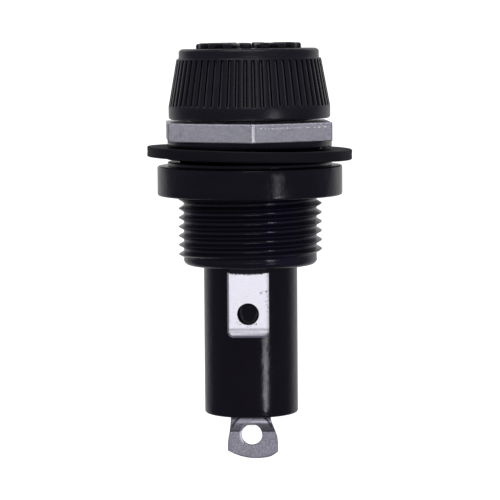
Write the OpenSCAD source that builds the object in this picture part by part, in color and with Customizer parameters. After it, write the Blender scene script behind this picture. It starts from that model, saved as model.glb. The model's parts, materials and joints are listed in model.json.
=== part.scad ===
// Panel-mount cartridge fuse holder with a screw-in knob, for a 13/32 x 1-1/2 in fuse.
// Z is the holder's axis, and Z = 0 is the underside of the metal hex, where it meets the flange.
// The knob is up, the terminals point down, and the side terminal faces -Y.

/* [Knob] */
// Height of the knob's flat top above the hex underside
knob_top = 14.06; // [13.5:0.01:15]
// Height of the knob's lower rim
knob_base = 3.3; // [3.1:0.01:3.6]
// Diameter of the knob at its lower rim
knob_d = 24.95; // [24.5:0.01:25.3]
// Diameter at the top of the tapered grip
grip_top_d = 22.3; // [22:0.01:22.8]
// Height at which the grip's taper starts
grip_lo = 5.2; // [5:0.1:5.6]
// Height at which the grip's taper ends
grip_hi = 12.5; // [12:0.1:12.7]
// Diameter of the plain band under the top edge
knob_band_d = 21.6; // [21:0.01:22]
// Number of grip flutes
flutes = 60; // [40:1:64]
// Radius of the round cutter of each flute
flute_r = 0.32; // [0.2:0.01:0.36]
// Number of raised bars on the knob's top
top_bars = 17; // [9:1:21]
// Height of the bars above the knob's flat top
bar_h = 0.92; // [0.3:0.01:1]

/* [Hex] */
// Width across the hex's flats
hex_af = 24.95; // [24.8:0.01:25.4]
// Height of the hex
hex_h = 2.85; // [2.5:0.01:2.9]
// Turn of the hex about the axis, in degrees
hex_turn = 35; // [0:1:60]

/* [Barrel] */
// Diameter of the flange under the hex
flange_d = 25.4; // [25:0.01:26]
// Thickness of the flange
flange_h = 1.05; // [0.8:0.01:1.07]
// Crest diameter of the mounting thread
barrel_d = 22.2; // [22:0.01:22.3]
// Pitch of the mounting thread, 18 to the inch
barrel_pitch = 1.4111; // [1.3:0.0001:1.5]
// Height at which the mounting thread ends
thread_end = -18.25; // [-19:0.01:-17]
// Height of the shoulder's underside
shoulder_z = -19.25; // [-19.6:0.01:-19.2]
// Diameter of the lower tube
tube_d = 14.5; // [14:0.01:14.6]
// Height of the lower tube's end
tube_end = -42.35; // [-42.5:0.01:-42]

/* [Fuse] */
// Diameter of the fuse's caps
fuse_d = 10.32; // [10.2:0.01:10.36]
// Length of the fuse
fuse_l = 38.1; // [37.8:0.01:38.2]
// Length of each fuse cap
cap_l = 9.5; // [8:0.1:10]
// Height of the seated fuse's upper end
fuse_top = 8.35; // [8.2:0.01:8.4]

/* [Knob thread] */
// Pitch of the two-start knob thread, 16 to the inch
knob_pitch = 1.5875; // [1.5:0.0001:1.7]
// Crest radius of the sleeve's thread
sleeve_r = 7.05; // [7:0.01:7.06]
// Depth of the sleeve's thread
sleeve_depth = 0.6; // [0.5:0.01:0.6]

/* [Washer and nut] */
// Outer diameter of the rubber washer
washer_d = 31.7; // [31:0.01:32]
// Thickness of the rubber washer
washer_h = 1.65; // [1.4:0.01:1.66]
// Tilt of the loose washer about Y, in degrees
washer_tilt = 1; // [0:0.1:1]
// Diameter of the mounting nut
nut_d = 28.6; // [28:0.01:29]
// Diameter of the boss on the nut's top
boss_d = 25.4; // [25:0.01:26]
// Height of the boss's top
boss_z = -3.26; // [-3.4:0.01:-3.26]
// Height of the nut's shoulder
nut_z = -3.9; // [-4.2:0.01:-3.8]
// Height of the nut's underside
nut_end = -8.5; // [-9:0.01:-8]

/* [Terminals] */
// Width of the side terminal, a quarter inch
tab_w = 6.35; // [6:0.01:6.4]
// Thickness of both terminals
tab_t = 0.81; // [0.7:0.01:0.85]
// Distance of the side terminal's back face from the axis
tab_y = 7.84; // [7.82:0.01:7.88]
// Height of the side terminal's end
tab_end = -29.8; // [-31:0.1:-29.5]
// Diameter of the side terminal's hole
tab_hole_d = 3.3; // [3:0.005:3.4]
// Height of the side terminal's hole
tab_hole_z = -26.15; // [-27:0.05:-26]
// Width of the end terminal's blade at its widest
lug_w = 7.8; // [7.5:0.01:7.9]
// Width of the end terminal's foot
lug_foot_w = 5.9; // [5.2:0.1:6]
// Distance of the end terminal's blade in front of the axis
lug_y = 3.6; // [3.5:0.1:4]
// Distance of the end terminal's blade to the right of the axis
lug_x = 0.38; // [0:0.01:0.4]
// Distance of its hole to the right of the axis
lug_hole_x = 0.23; // [0:0.01:0.4]
// Diameter of the end terminal's hole
lug_hole_d = 3.175; // [3:0.005:3.4]
// Height of the end terminal's hole
lug_hole_z = -45.36; // [-45.6:0.01:-45.2]
// Height of the end terminal's tip
lug_end = -49; // [-49.2:0.01:-48.6]

/* [Bottom contact] */
// Coil diameter of the contact spring, to the wire's centre
spring_d = 8; // [7.8:0.1:8.2]
// Diameter of the contact spring's wire
spring_wire = 0.9; // [0.7:0.05:0.9]
// Number of turns in the contact spring
spring_turns = 5; // [4:1:5]

/* [Hidden] */

$fn = 64;
e = 0.02;                 // overreach that keeps a cut clean
seg = 36;                 // facets in one turn of a thread

// moulded body
barrel_r = barrel_d / 2;
barrel_root = barrel_r - 0.8;
barrel_phase = -17.76;    // height of a thread root on the +X side
shoulder_r = barrel_root + 0.05;
neck_r = 9.6;
neck_top = 7.6;
neck_flat = 9;
lip_r = 9.95;
pocket_r = 7.8;
pocket_z = -12;
bore_r = 5.55;
floor_z = -39.6;
rivet_r = 1.45;
rivet_hole_r = 1.5;

// knob thread and the parts around it
knob_lead = 2 * knob_pitch;
sleeve_root = sleeve_r - sleeve_depth;
sleeve_end = -2;
sleeve_thread_top = 6.9;
sleeve_top = 10.65;
sleeve_bore = 5.75;
shell_r = pocket_r - 0.03;
shell_bore = 7.2;
shell_top = 8;
shell_thread_lo = -1;
shell_thread_hi = 6.6;
cavity_r = 10.2;
cavity_top = 8.5;
screw_r = 1.15;
screw_hole_r = 1.2;
screw_end = 12.6;

// fuse and clip
fuse_end = fuse_top - fuse_l;
fuse_r = fuse_d / 2;
cap_t = 0.45;
clip_in = fuse_r + 0.08;
clip_out = 5.6;
clip_end = -3.5;
clip_base = 9.6;
clip_t = 0.33;

// shell rivet
shell_rivet_z = -9;
shell_rivet_r = 0.9;
tab_top = -6;

// bottom contact
seat_t = 0.6;
seat_r = 5.35;
seat_floor = floor_z + seat_t;
plunger_r = 5.43;
plunger_top = fuse_end - 0.05;
plunger_t = 1.2;
washer_t = 0.45;
foot_z = tube_end - tab_t;

// rubber washer
washer_z = -2.13;
washer_bore = barrel_r + 0.25;

// ---------- helpers ----------

// A right-hand threaded rod from z0 to z1. root and crest are radii, and root_flat and
// crest_flat are heights along the axis. A root flat starts at height phase at angle 0.
module threaded_rod(root, crest, root_flat, crest_flat, pitch, starts, phase, z0, z1) {
    flank = (pitch - root_flat - crest_flat) / 2;
    offs = [0, root_flat, root_flat + flank, root_flat + flank + crest_flat];
    radii = [root, root, crest, crest];
    shift = 4 * starts;       // rows climbed in one turn
    base = phase - ceil((phase - z0) / pitch + starts) * pitch;
    rows = 4 * ceil((z1 - base) / pitch + starts);
    last = rows - shift;
    function row_z(j, k) = base + pitch * (floor(j / 4) + starts * k / seg) + offs[j % 4];
    function place(r, a, z) = [r * cos(a), r * sin(a), z];
    function at(j, k) = k < seg ? j * seg + k : (j + shift) * seg;
    low = (rows + 1) * seg;
    high = low + 1;
    points = concat(
        [for (j = [0:rows]) for (k = [0:seg - 1]) place(radii[j % 4], 360 * k / seg, row_z(j, k))],
        [[0, 0, base - 1], [0, 0, row_z(rows, seg) + 1]]
    );
    cells = [for (j = [0:rows - 1]) for (k = [0:seg - 1]) if (k < seg - 1 || j < last) [j, k]];
    faces = concat(
        [for (c = cells) [at(c[0], c[1]), at(c[0] + 1, c[1]), at(c[0] + 1, c[1] + 1)]],
        [for (c = cells) [at(c[0], c[1]), at(c[0] + 1, c[1] + 1), at(c[0], c[1] + 1)]],
        [for (k = [0:seg - 1]) [low, at(0, k), at(0, k + 1)]],
        [for (j = [0:shift - 1]) [low, at(j + 1, 0), at(j, 0)]],
        [for (k = [0:seg - 2]) [high, at(rows, k + 1), at(rows, k)]],
        [for (j = [last:rows - 1]) [high, at(j, seg - 1), at(j + 1, seg - 1)]],
        [[high, at(last, seg), at(last, seg - 1)]]
    );
    intersection() {
        polyhedron(points, faces);
        translate([0, 0, z0]) cylinder(r = crest + 2, h = z1 - z0);
    }
}

// The mounting thread, grown by gap for the nut's thread.
module barrel_thread(gap, z0, z1) {
    threaded_rod(barrel_root + gap, barrel_r + gap, 0.35 - gap, 0.12 + gap,
        barrel_pitch, 1, barrel_phase + gap / 2, z0, z1);
}

// The knob's two-start thread, grown by gap for the shell's thread.
module knob_thread(gap, z0, z1) {
    threaded_rod(sleeve_root + gap, sleeve_r + gap, 0.45 - gap, 0.45 + gap,
        knob_pitch, 2, gap / 2, z0, z1);
}

// A tube from z0 to z1.
module tube(r_out, r_in, z0, z1) {
    difference() {
        translate([0, 0, z0]) cylinder(r = r_out, h = z1 - z0);
        translate([0, 0, z0 - e]) cylinder(r = r_in, h = z1 - z0 + 2 * e);
    }
}

// A straight hole or pin about Z.
module rod(r, z0, z1) {
    translate([0, 0, z0]) cylinder(r = r, h = z1 - z0);
}

// A hole or pin along -Y at height z, from distance y0 to y1 in front of the axis.
module rod_y(r, z, y0, y1) {
    translate([0, -y0, z]) rotate([90, 0, 0]) cylinder(r = r, h = y1 - y0);
}

// A disc from z0 to z1 with both edges chamfered by c.
module chamfered(r, z0, z1, c) {
    rotate_extrude() polygon([
        [0, z0], [r - c, z0], [r, z0 + c], [r, z1 - c], [r - c, z1], [0, z1]
    ]);
}

// Points of a quarter circle of radius r about [x, y], from angle a0.
function quarter(x, y, r, a0) = [for (i = [0:6]) [x + r * cos(a0 + 15 * i), y + r * sin(a0 + 15 * i)]];

// ---------- fixed parts ----------

// One moulding: neck, flange, threaded barrel, shoulder and lower tube.
module body() {
    core = barrel_root - 0.6;
    color("#1a191e") difference() {
        union() {
            barrel_thread(0, thread_end, -flange_h + 0.2);
            rotate_extrude() polygon(concat(
                [[0, tube_end]],
                quarter(tube_d / 2 - 0.35, tube_end + 0.35, 0.35, -90),
                [[tube_d / 2, shoulder_z]],
                quarter(shoulder_r - 0.9, shoulder_z + 0.9, 0.9, -90),
                [[shoulder_r, thread_end + 0.15], [core, thread_end + 0.15]],
                [[core, -flange_h], [flange_d / 2, -flange_h], [flange_d / 2, 0]],
                [[neck_r, 0], [neck_r, hex_h + 0.02], [lip_r, hex_h + 0.02]],
                [[lip_r, hex_h + 0.3], [neck_r, hex_h + 0.65]],
                [[neck_r, neck_top - 0.3], [neck_r - 0.3, neck_top], [0, neck_top]]
            ));
        }
        rod(bore_r, floor_z, neck_top + 1);
        rod(pocket_r, pocket_z, neck_top + 1);
        rod(rivet_hole_r, tube_end - 1, floor_z + 1);
        // the side terminal's slot
        translate([-tab_w / 2 - 0.05, -tab_y - tab_t - 0.05, shoulder_z - 1])
            cube([tab_w + 0.1, tab_t + 1, tab_top + 0.5 - shoulder_z + 1]);
        // flats that key the hex
        for (s = [0, 180]) rotate([0, 0, s])
            translate([neck_flat, -15, 0]) cube([6, 30, hex_h + 0.02]);
    }
}

// Metal hex, held by its two inner flats.
module hex_collar() {
    corner = hex_af / 2 / cos(30);
    color("#8a8894") difference() {
        intersection() {
            rotate([0, 0, hex_turn]) cylinder(r = corner, h = hex_h, $fn = 6);
            chamfered(corner + 0.02, 0, hex_h, 0.27);
        }
        intersection() {
            rod(neck_r + 0.04, -1, hex_h + 1);
            translate([-neck_flat - 0.04, -15, -1]) cube([2 * neck_flat + 0.08, 30, hex_h + 2]);
        }
    }
}

// Threaded brass shell: the upper contact.
module contact_shell() {
    color("#c4a050") difference() {
        union() {
            rod(shell_r, pocket_z, shell_top);
            rod(9.2, neck_top, shell_top);
        }
        rod(shell_bore, pocket_z - 1, shell_thread_lo);
        knob_thread(0.12, shell_thread_lo - 0.5, shell_thread_hi + 0.5);
        rod(shell_bore, shell_thread_hi, shell_top + 1);
        rod_y(shell_rivet_r + 0.02, shell_rivet_z, 5, 10);
    }
}

// Tin-plated side terminal, riveted to the shell and led out under the shoulder.
module side_terminal() {
    half = tab_w / 2;
    cut = 0.8;
    bevel = 0.3;
    color("#e2e0e8") difference() {
        translate([0, -tab_y, 0]) rotate([90, 0, 0]) linear_extrude(tab_t) polygon([
            [-half, tab_top], [-half, tab_end + cut], [-half + cut, tab_end],
            [half - cut, tab_end], [half, tab_end + cut], [half, tab_top]
        ]);
        rod_y(tab_hole_d / 2, tab_hole_z, tab_y - 1, tab_y + tab_t + 1);
        rod_y(shell_rivet_r + 0.02, shell_rivet_z, tab_y - 1, tab_y + tab_t + 1);
        // bevelled front edges and lead-in
        for (s = [-1, 1]) translate([s * half, -tab_y - tab_t, tab_end - 1])
            rotate([0, 0, 45]) translate([-bevel * 0.707, -bevel * 0.707, 0])
                cube([bevel * 1.414, bevel * 1.414, shoulder_z - tab_end + 0.5]);
        translate([-half - 1, -tab_y - tab_t - 1, tab_end - 0.2]) rotate([-14, 0, 0])
            translate([0, -0.01, -1.2]) cube([tab_w + 2, 1, 2.4]);
    }
}

// Flush rivet that joins the side terminal to the shell.
module shell_rivet() {
    color("#b8b6bc") union() {
        rod_y(1.6, shell_rivet_z, 6.55, 6.98);
        rod_y(shell_rivet_r, shell_rivet_z, 6.9, tab_y + tab_t);
    }
}

// Brass cup that seats the contact spring.
module contact_seat() {
    color("#c4a050") difference() {
        rod(seat_r, floor_z, seat_floor + 1);
        rod(seat_r - 0.4, seat_floor, seat_floor + 2);
        rod(rivet_hole_r, floor_z - 1, seat_floor + 1);
    }
}

// Rivet through the floor, from the seat to the end terminal.
module end_rivet() {
    head = 2.3;
    low = foot_z - washer_t;
    color("#b8b6bc") rotate_extrude() polygon([
        [0, low - 0.75], [1.3, low - 0.75], [head, low - 0.25], [head, low],
        [rivet_r, low], [rivet_r, seat_floor], [head, seat_floor],
        [head, seat_floor + 0.3], [1.4, seat_floor + 0.7], [0, seat_floor + 0.7]
    ]);
}

// Toothed lock washer under the rivet's lower head.
module lock_washer() {
    color("#9a98a0") difference() {
        tube(2.75, rivet_r + 0.08, foot_z - washer_t, foot_z);
        for (i = [0:9]) rotate([0, 0, 36 * i])
            translate([2.35, -0.2, foot_z - 1]) cube([1, 0.4, 2]);
    }
}

// Tin-plated end terminal: a riveted foot bent down into a flared blade.
module end_terminal() {
    back = -lug_y;
    front = back - tab_t;
    crease = lug_hole_z + 0.56;
    flare = -46.5;
    tip_r = 8.5;
    tip_x = 0.9;             // the tip's lowest point is off the blade's middle
    arc = [for (i = [0:13]) let (x = -lug_w / 2 + (lug_w - 0.3) * i / 13 + lug_x)
        [x, lug_end + tip_r - sqrt(tip_r * tip_r - (x - tip_x) * (x - tip_x))]];
    color("#8f8d97") difference() {
        intersection() {
            // side profile
            rotate([90, 0, 90]) translate([0, 0, -6]) linear_extrude(12) polygon([
                [3.1, tube_end], [3.1, foot_z], [-2.85, foot_z], [-3.05, foot_z - 0.25],
                [back, crease], [back, -52], [front, -52], [front, crease],
                [-3.75, tube_end - 0.75], [-3.35, tube_end - 0.2], [-2.95, tube_end]
            ]);
            // front outline
            translate([0, 10, 0]) rotate([90, 0, 0]) linear_extrude(20) polygon(concat(
                [[lug_foot_w / 2, tube_end + 1], [-lug_foot_w / 2, tube_end + 1]],
                [[-lug_foot_w / 2, -42.6], [lug_x - 3.3, -43.6], [lug_x - 3.52, -44.66]],
                [[lug_x - 3.8, -45.9], [lug_x - lug_w / 2, flare]],
                arc,
                [[lug_x + lug_w / 2, lug_end + 0.95], [lug_x + lug_w / 2, flare], [lug_x + 3.8, -45.9]],
                [[lug_x + 3.52, -44.66], [lug_x + 3.16, -43.6], [lug_foot_w / 2, -42.8]]
            ));
        }
        translate([lug_hole_x, 0, 0]) rod_y(lug_hole_d / 2, lug_hole_z, lug_y - 1, lug_y + tab_t + 1);
        rod(rivet_hole_r, foot_z - 1, tube_end + 1);
    }
}

// ---------- knob ----------

// Moulded knob with a tapered, fluted grip and raised bars on top.
module knob() {
    lean = atan((knob_d - grip_top_d) / 2 / (grip_hi - grip_lo));
    run = (grip_hi - grip_lo) / cos(lean);
    color("#201f24") difference() {
        union() {
            rotate_extrude() polygon([
                [0, knob_base + 1], [cavity_r - 1, knob_base + 1], [cavity_r, knob_base],
                [knob_d / 2 - 0.3, knob_base], [knob_d / 2, knob_base + 0.3],
                [knob_d / 2, grip_lo], [grip_top_d / 2, grip_hi],
                [knob_band_d / 2, grip_hi + 0.45], [knob_band_d / 2, knob_top - 0.35],
                [knob_band_d / 2 - 0.45, knob_top], [0, knob_top]
            ]);
            for (i = [0:top_bars - 1]) rotate([0, 0, 360 * i / top_bars - 90])
                translate([4.7, -0.75, knob_top - 0.2]) cube([3.4, 1.5, bar_h + 0.2]);
        }
        rod(cavity_r, knob_base - 1, cavity_top);
        rod(sleeve_r + 0.02, cavity_top - 1, sleeve_top);
        rod(screw_hole_r, sleeve_top - 1, screw_end + 0.3);
        for (i = [0:flutes - 1]) rotate([0, 0, 360 * i / flutes])
            translate([knob_d / 2, 0, grip_lo]) rotate([0, -lean, 0])
                translate([0, 0, -0.2]) cylinder(r = flute_r, h = run - 0.3);
    }
}

// Threaded brass sleeve, pressed into the knob.
module knob_sleeve() {
    color("#c4a050") difference() {
        union() {
            knob_thread(0, sleeve_end, sleeve_thread_top + 0.3);
            rod(sleeve_r + 0.005, sleeve_thread_top, sleeve_top - 0.01);
        }
        rod(sleeve_bore, sleeve_end - 1, clip_base + clip_t + 0.02);
        rod(screw_hole_r + 0.05, clip_base, sleeve_top + 1);
    }
}

// Spring clip in the sleeve, with four fingers around the fuse's upper cap.
module fuse_clip() {
    color("#b98c4a") difference() {
        rod(clip_out, clip_end, clip_base + clip_t);
        rod(clip_in, clip_end - 1, clip_base);
        rod(screw_hole_r + 0.05, clip_base - 1, clip_base + 1);
        for (s = [0, 90]) rotate([0, 0, s + 45])
            translate([-0.6, -8, clip_end - 1]) cube([1.2, 16, 11]);
    }
}

// Screw that holds clip and sleeve in the knob.
module knob_screw() {
    color("#a6a4aa") difference() {
        rotate_extrude() polygon([
            [0, 8.45], [1.9, 8.45], [2.3, 8.85], [2.3, clip_base - 0.01],
            [screw_r, clip_base - 0.01], [screw_r, screw_end - 0.6], [0, screw_end]
        ]);
        translate([-3, -0.3, 8]) cube([6, 0.6, 0.95]);
    }
}

// ---------- fuse ----------

// Insulating tube of the fuse.
module fuse_tube() {
    color("#ddd6c4") tube(fuse_r - cap_t - 0.01, 3.4, fuse_end + cap_t + 0.01, fuse_top - cap_t - 0.01);
}

// One cap, open upwards from its closed end at z0.
module fuse_cap() {
    color("#b6b6ba") difference() {
        chamfered(fuse_r, 0, cap_l, 0.2);
        rod(fuse_r - cap_t, cap_t, cap_l + 1);
    }
}

// Upper cap, gripped by the clip.
module fuse_cap_top() {
    translate([0, 0, fuse_top]) mirror([0, 0, 1]) fuse_cap();
}

// Lower cap, pressed by the plunger.
module fuse_cap_bottom() {
    translate([0, 0, fuse_end]) fuse_cap();
}

// Notched link strip inside the fuse.
module fuse_element() {
    link = fuse_l - 2 * cap_t;
    color("#c9c9cc") translate([0, 0, fuse_end + cap_t]) difference() {
        translate([-1.5, -0.125, 0]) cube([3, 0.25, link]);
        for (i = [1:4]) for (s = [-1, 1])
            translate([1.5 * s, -1, link * i / 5]) rotate([-90, 0, 0]) cylinder(r = 1, h = 2);
    }
}

// ---------- washer and nut ----------

// Loose rubber sealing washer.
module rubber_washer() {
    color("#17161a") translate([0, 0, washer_z]) rotate([0, washer_tilt, 0]) difference() {
        chamfered(washer_d / 2, -washer_h / 2, washer_h / 2, 0.2);
        rod(washer_bore, -5, 5);
    }
}

// Round mounting nut with a raised boss.
module mounting_nut() {
    color("#1a191e") difference() {
        union() {
            chamfered(nut_d / 2, nut_end, nut_z, 0.3);
            chamfered(boss_d / 2, nut_z - 1, boss_z, 0.15);
        }
        barrel_thread(0.14, nut_end - 0.5, boss_z + 0.5);
    }
}

// ---------- bottom contact ----------

// Brass plunger that presses the fuse's lower cap.
module contact_plunger() {
    color("#c4a050") rotate_extrude() polygon([
        [0, plunger_top - 4.6], [2.7, plunger_top - 4.6], [3.1, plunger_top - 4.2],
        [3.1, plunger_top - plunger_t], [plunger_r, plunger_top - plunger_t],
        [plunger_r, plunger_top - 0.3], [plunger_r - 0.3, plunger_top], [0, plunger_top]
    ]);
}

// Compression spring with closed end turns.
module contact_spring() {
    sides = 8;
    steps = 20;
    wire = spring_wire / 2;
    lo = seat_floor + wire + 0.05;
    hi = plunger_top - plunger_t - wire - 0.05;
    closed = spring_wire + 0.04;
    open = (hi - lo - 2 * closed) / (spring_turns - 2);
    count = spring_turns * steps;
    function rise(t) = t < 1 ? closed * t
        : t > spring_turns - 1 ? hi - lo - closed * (spring_turns - t)
        : closed + open * (t - 1);
    points = [for (i = [0:count]) for (s = [0:sides - 1])
        let (a = 360 * i / steps, b = 360 * s / sides, r = spring_d / 2 + wire * cos(b))
            [r * cos(a), r * sin(a), lo + rise(i / steps) + wire * sin(b)]];
    function at(i, s) = i * sides + s % sides;
    faces = concat(
        [for (i = [0:count - 1]) for (s = [0:sides - 1]) [at(i, s), at(i, s + 1), at(i + 1, s + 1)]],
        [for (i = [0:count - 1]) for (s = [0:sides - 1]) [at(i, s), at(i + 1, s + 1), at(i + 1, s)]],
        [[for (s = [0:sides - 1]) sides - 1 - s]],
        [[for (s = [0:sides - 1]) count * sides + s]]
    );
    color("#a9a7ae") polyhedron(points, faces);
}

body();
hex_collar();
contact_shell();
side_terminal();
shell_rivet();
contact_seat();
end_rivet();
lock_washer();
end_terminal();
knob();
knob_sleeve();
fuse_clip();
knob_screw();
fuse_tube();
fuse_cap_top();
fuse_cap_bottom();
fuse_element();
rubber_washer();
mounting_nut();
contact_plunger();
contact_spring();
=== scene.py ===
# %% [markdown]
# # A panel-mount cartridge fuse holder
#
# The real holder is a black phenolic moulding about 64 mm tall. A fluted knob screws into its top and
# carries the fuse. A grey metal hex sits under the knob. A loose rubber washer and a round nut clamp it
# to a panel. Two tinned terminals take the wires.
#
# The CAD model is loaded first and stays where it is. Everything that shows from outside is then built
# again as a finer mesh in the same place, and so is the contact spring, which has to shorten. The other
# inner parts keep their CAD shape and get a finish.

# %% Load the frame
import json
import math
import random

import bmesh
import bpy
from mathutils import Matrix, Vector

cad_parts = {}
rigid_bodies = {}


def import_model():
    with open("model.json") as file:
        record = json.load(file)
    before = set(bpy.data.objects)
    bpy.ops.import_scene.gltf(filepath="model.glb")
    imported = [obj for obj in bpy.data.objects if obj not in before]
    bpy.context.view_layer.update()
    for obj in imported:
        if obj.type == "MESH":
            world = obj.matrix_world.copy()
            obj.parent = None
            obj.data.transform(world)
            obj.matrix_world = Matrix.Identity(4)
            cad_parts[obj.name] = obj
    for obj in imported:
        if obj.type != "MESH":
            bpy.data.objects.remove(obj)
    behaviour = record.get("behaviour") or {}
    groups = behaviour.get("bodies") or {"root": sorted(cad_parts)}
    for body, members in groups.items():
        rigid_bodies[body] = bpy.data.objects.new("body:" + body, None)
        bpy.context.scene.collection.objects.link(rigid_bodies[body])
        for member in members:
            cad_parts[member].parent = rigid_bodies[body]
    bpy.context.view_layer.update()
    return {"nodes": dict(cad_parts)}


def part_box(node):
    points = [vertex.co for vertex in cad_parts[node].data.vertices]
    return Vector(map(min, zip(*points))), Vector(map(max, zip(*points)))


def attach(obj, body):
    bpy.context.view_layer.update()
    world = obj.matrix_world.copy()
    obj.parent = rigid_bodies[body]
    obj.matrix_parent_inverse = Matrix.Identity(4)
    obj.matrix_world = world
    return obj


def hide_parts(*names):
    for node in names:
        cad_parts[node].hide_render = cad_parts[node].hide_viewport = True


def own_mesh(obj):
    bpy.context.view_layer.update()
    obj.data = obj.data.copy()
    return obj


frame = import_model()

MM = 0.001
TAU = 2 * math.pi

# %% [markdown]
# ## The camera
#
# The holder is seen nearly level, from 5 degrees above and a little to the right of its side terminal.
# A long lens from 0.39 m keeps the tube's sides almost parallel. The camera is made first, because every
# finish is judged from where it stands.

# %% Camera
VIEW_TURN = math.radians(2.9)
VIEW_RISE = math.radians(5.0)
VIEW_ROLL = math.radians(0.42)
VIEW_DISTANCE = 0.388
LENS_MM, SENSOR_MM = 180.2, 36
NEAREST_SEEN = 0.01
aim = Vector((-0.00007, 0, -0.0171))     # the middle of the holder

camera = bpy.data.objects.new("studio_camera", bpy.data.cameras.new("studio_camera"))
bpy.context.scene.collection.objects.link(camera)
outward = Vector((
    math.sin(VIEW_TURN) * math.cos(VIEW_RISE),
    -math.cos(VIEW_TURN) * math.cos(VIEW_RISE),
    math.sin(VIEW_RISE),
))
camera.location = aim + VIEW_DISTANCE * outward
camera.rotation_euler = (
    (-outward).to_track_quat("-Z", "Y").to_matrix() @ Matrix.Rotation(-VIEW_ROLL, 3, "Z")
).to_euler()
camera.data.sensor_width = SENSOR_MM
camera.data.lens = LENS_MM
camera.data.clip_start = NEAREST_SEEN
bpy.context.scene.camera = camera
print("camera at", [round(c, 3) for c in camera.location])

# %% [markdown]
# ## Sizes
#
# Heights come from the CAD nodes' own boxes. A few things that a box can't give, such as a thread's
# pitch or a root radius, are named here in millimetres. Height 0 is the top of the flange.

# %% Sizes in millimetres
def span(node):
    """A node's lowest and highest corners, in millimetres."""
    low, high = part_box(node)
    return low / MM, high / MM


body_lo, body_hi = span("body")
knob_lo, knob_hi = span("knob")
nut_lo, nut_hi = span("mounting_nut")
tab_lo, tab_hi = span("side_terminal")
HEX_H = span("hex_collar")[1].z
LUG_END = span("end_terminal")[0].z

TUBE_R = 7.25
BARREL_R = 11.1
BARREL_ROOT = 10.3
BARREL_PITCH = 1.4111
BARREL_CREST = -16.88      # height of a crest on the +X side
THREAD_END = -18.25
SHOULDER_R = 10.36
SHOULDER_Z = -19.25
FLANGE_R = 12.7
FLANGE_H = 1.05
RIVET_HOLE_R = 1.5
print("overall height %.1f mm" % (knob_hi.z - LUG_END))

# %% [markdown]
# ## A mesh from rings
#
# Nearly every piece here is turned or moulded round one axis. So one helper makes a skin from rings.
# Each ring is a function of a column's number and angle, and gives a radius and a height. A plain pair of
# numbers is a true circle. A thread's rings climb one pitch in a turn, so at the seam each ring joins the
# one that lies a pitch above it.

# %% From millimetres to a piece
MERGE_MM = 0.0008            # points closer than this become one


def even_columns(count, extra=()):
    """Angles of the columns, with extra ones squeezed in."""
    angles = [TAU * k / count for k in range(count)]
    return sorted(set(angles) | {a % TAU for a in extra})


def finish_mesh(bm, name, body, sharp=32):
    """Turn a bmesh in millimetres into a piece in metres that rides on a body."""
    bmesh.ops.remove_doubles(bm, verts=bm.verts, dist=MERGE_MM)
    bmesh.ops.recalc_face_normals(bm, faces=bm.faces)
    bmesh.ops.scale(bm, vec=(MM, MM, MM), verts=bm.verts)
    mesh = bpy.data.meshes.new(name)
    bm.to_mesh(mesh)
    bm.free()
    mesh.shade_smooth()
    mesh.set_sharp_from_angle(angle=math.radians(sharp))
    piece = bpy.data.objects.new(name, mesh)
    bpy.context.scene.collection.objects.link(piece)
    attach(piece, body)
    return piece


print("points closer than", MERGE_MM, "mm are merged")

# %% A skin from rings
def ring_skin(bm, rings, columns, closed=True):
    """Skin a list of (ring, rings that a seam climbs). closed joins the last ring to the first."""
    grid = []
    for ring, _ in rings:
        places = [ring(k, a) if callable(ring) else ring for k, a in enumerate(columns)]
        grid.append([bm.verts.new((r * math.cos(a), r * math.sin(a), z))
                     for a, (r, z) in zip(columns, places)])
    block_end = list(range(len(rings)))
    for j in reversed(range(len(rings) - 1)):
        if rings[j][1] and rings[j + 1][1]:
            block_end[j] = block_end[j + 1]
    for j in range(len(grid) if closed else len(grid) - 1):
        up = (j + 1) % len(grid)
        climb = min(rings[j][1], rings[up][1])
        for k in range(len(columns)):
            if k < len(columns) - 1:
                low, high = grid[j][k + 1], grid[up][k + 1]
            else:
                low = grid[min(j + climb, block_end[j])][0]
                high = grid[min(up + climb, block_end[up])][0]
            corners = (grid[j][k], low, high, grid[up][k])
            if len(set(corners)) > 2:
                bm.faces.new(tuple(dict.fromkeys(corners)))

# %% Circles, fillets and a soft step
def plain(points):
    """Plain circles for ring_skin."""
    return [(p, 0) for p in points]


def arc(r, z, radius, start, end, steps=6):
    """Points of a fillet about (r, z), angles in degrees."""
    angles = [math.radians(start + (end - start) * i / steps) for i in range(steps + 1)]
    return [(r + radius * math.cos(t), z + radius * math.sin(t)) for t in angles]


def smooth_step(t):
    """0 below 0, 1 above 1, and a soft S between them."""
    t = min(max(t, 0.0), 1.0)
    return t * t * (3 - 2 * t)

# %% [markdown]
# A moulded thread isn't razor sharp: its crest is a narrow flat with soft shoulders, and its root has a
# small fillet. One pitch is described by a short list of heights and depths, and repeated. Rings past the
# ends are squeezed onto the end circle, and the ridge sinks to nothing over its last sixth of a turn.

# %% A thread's rings
TOOTH = [(-0.62, 0.0), (-0.53, 0.03), (-0.45, 0.15), (-0.12, 0.86), (-0.07, 0.96), (0.0, 1.0),
         (0.07, 0.96), (0.12, 0.86), (0.45, 0.15), (0.53, 0.03), (0.62, 0.0)]
END_FADE, RUNOUT_FADE = 0.12, 0.24           # heights over which a ridge sinks


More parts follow.
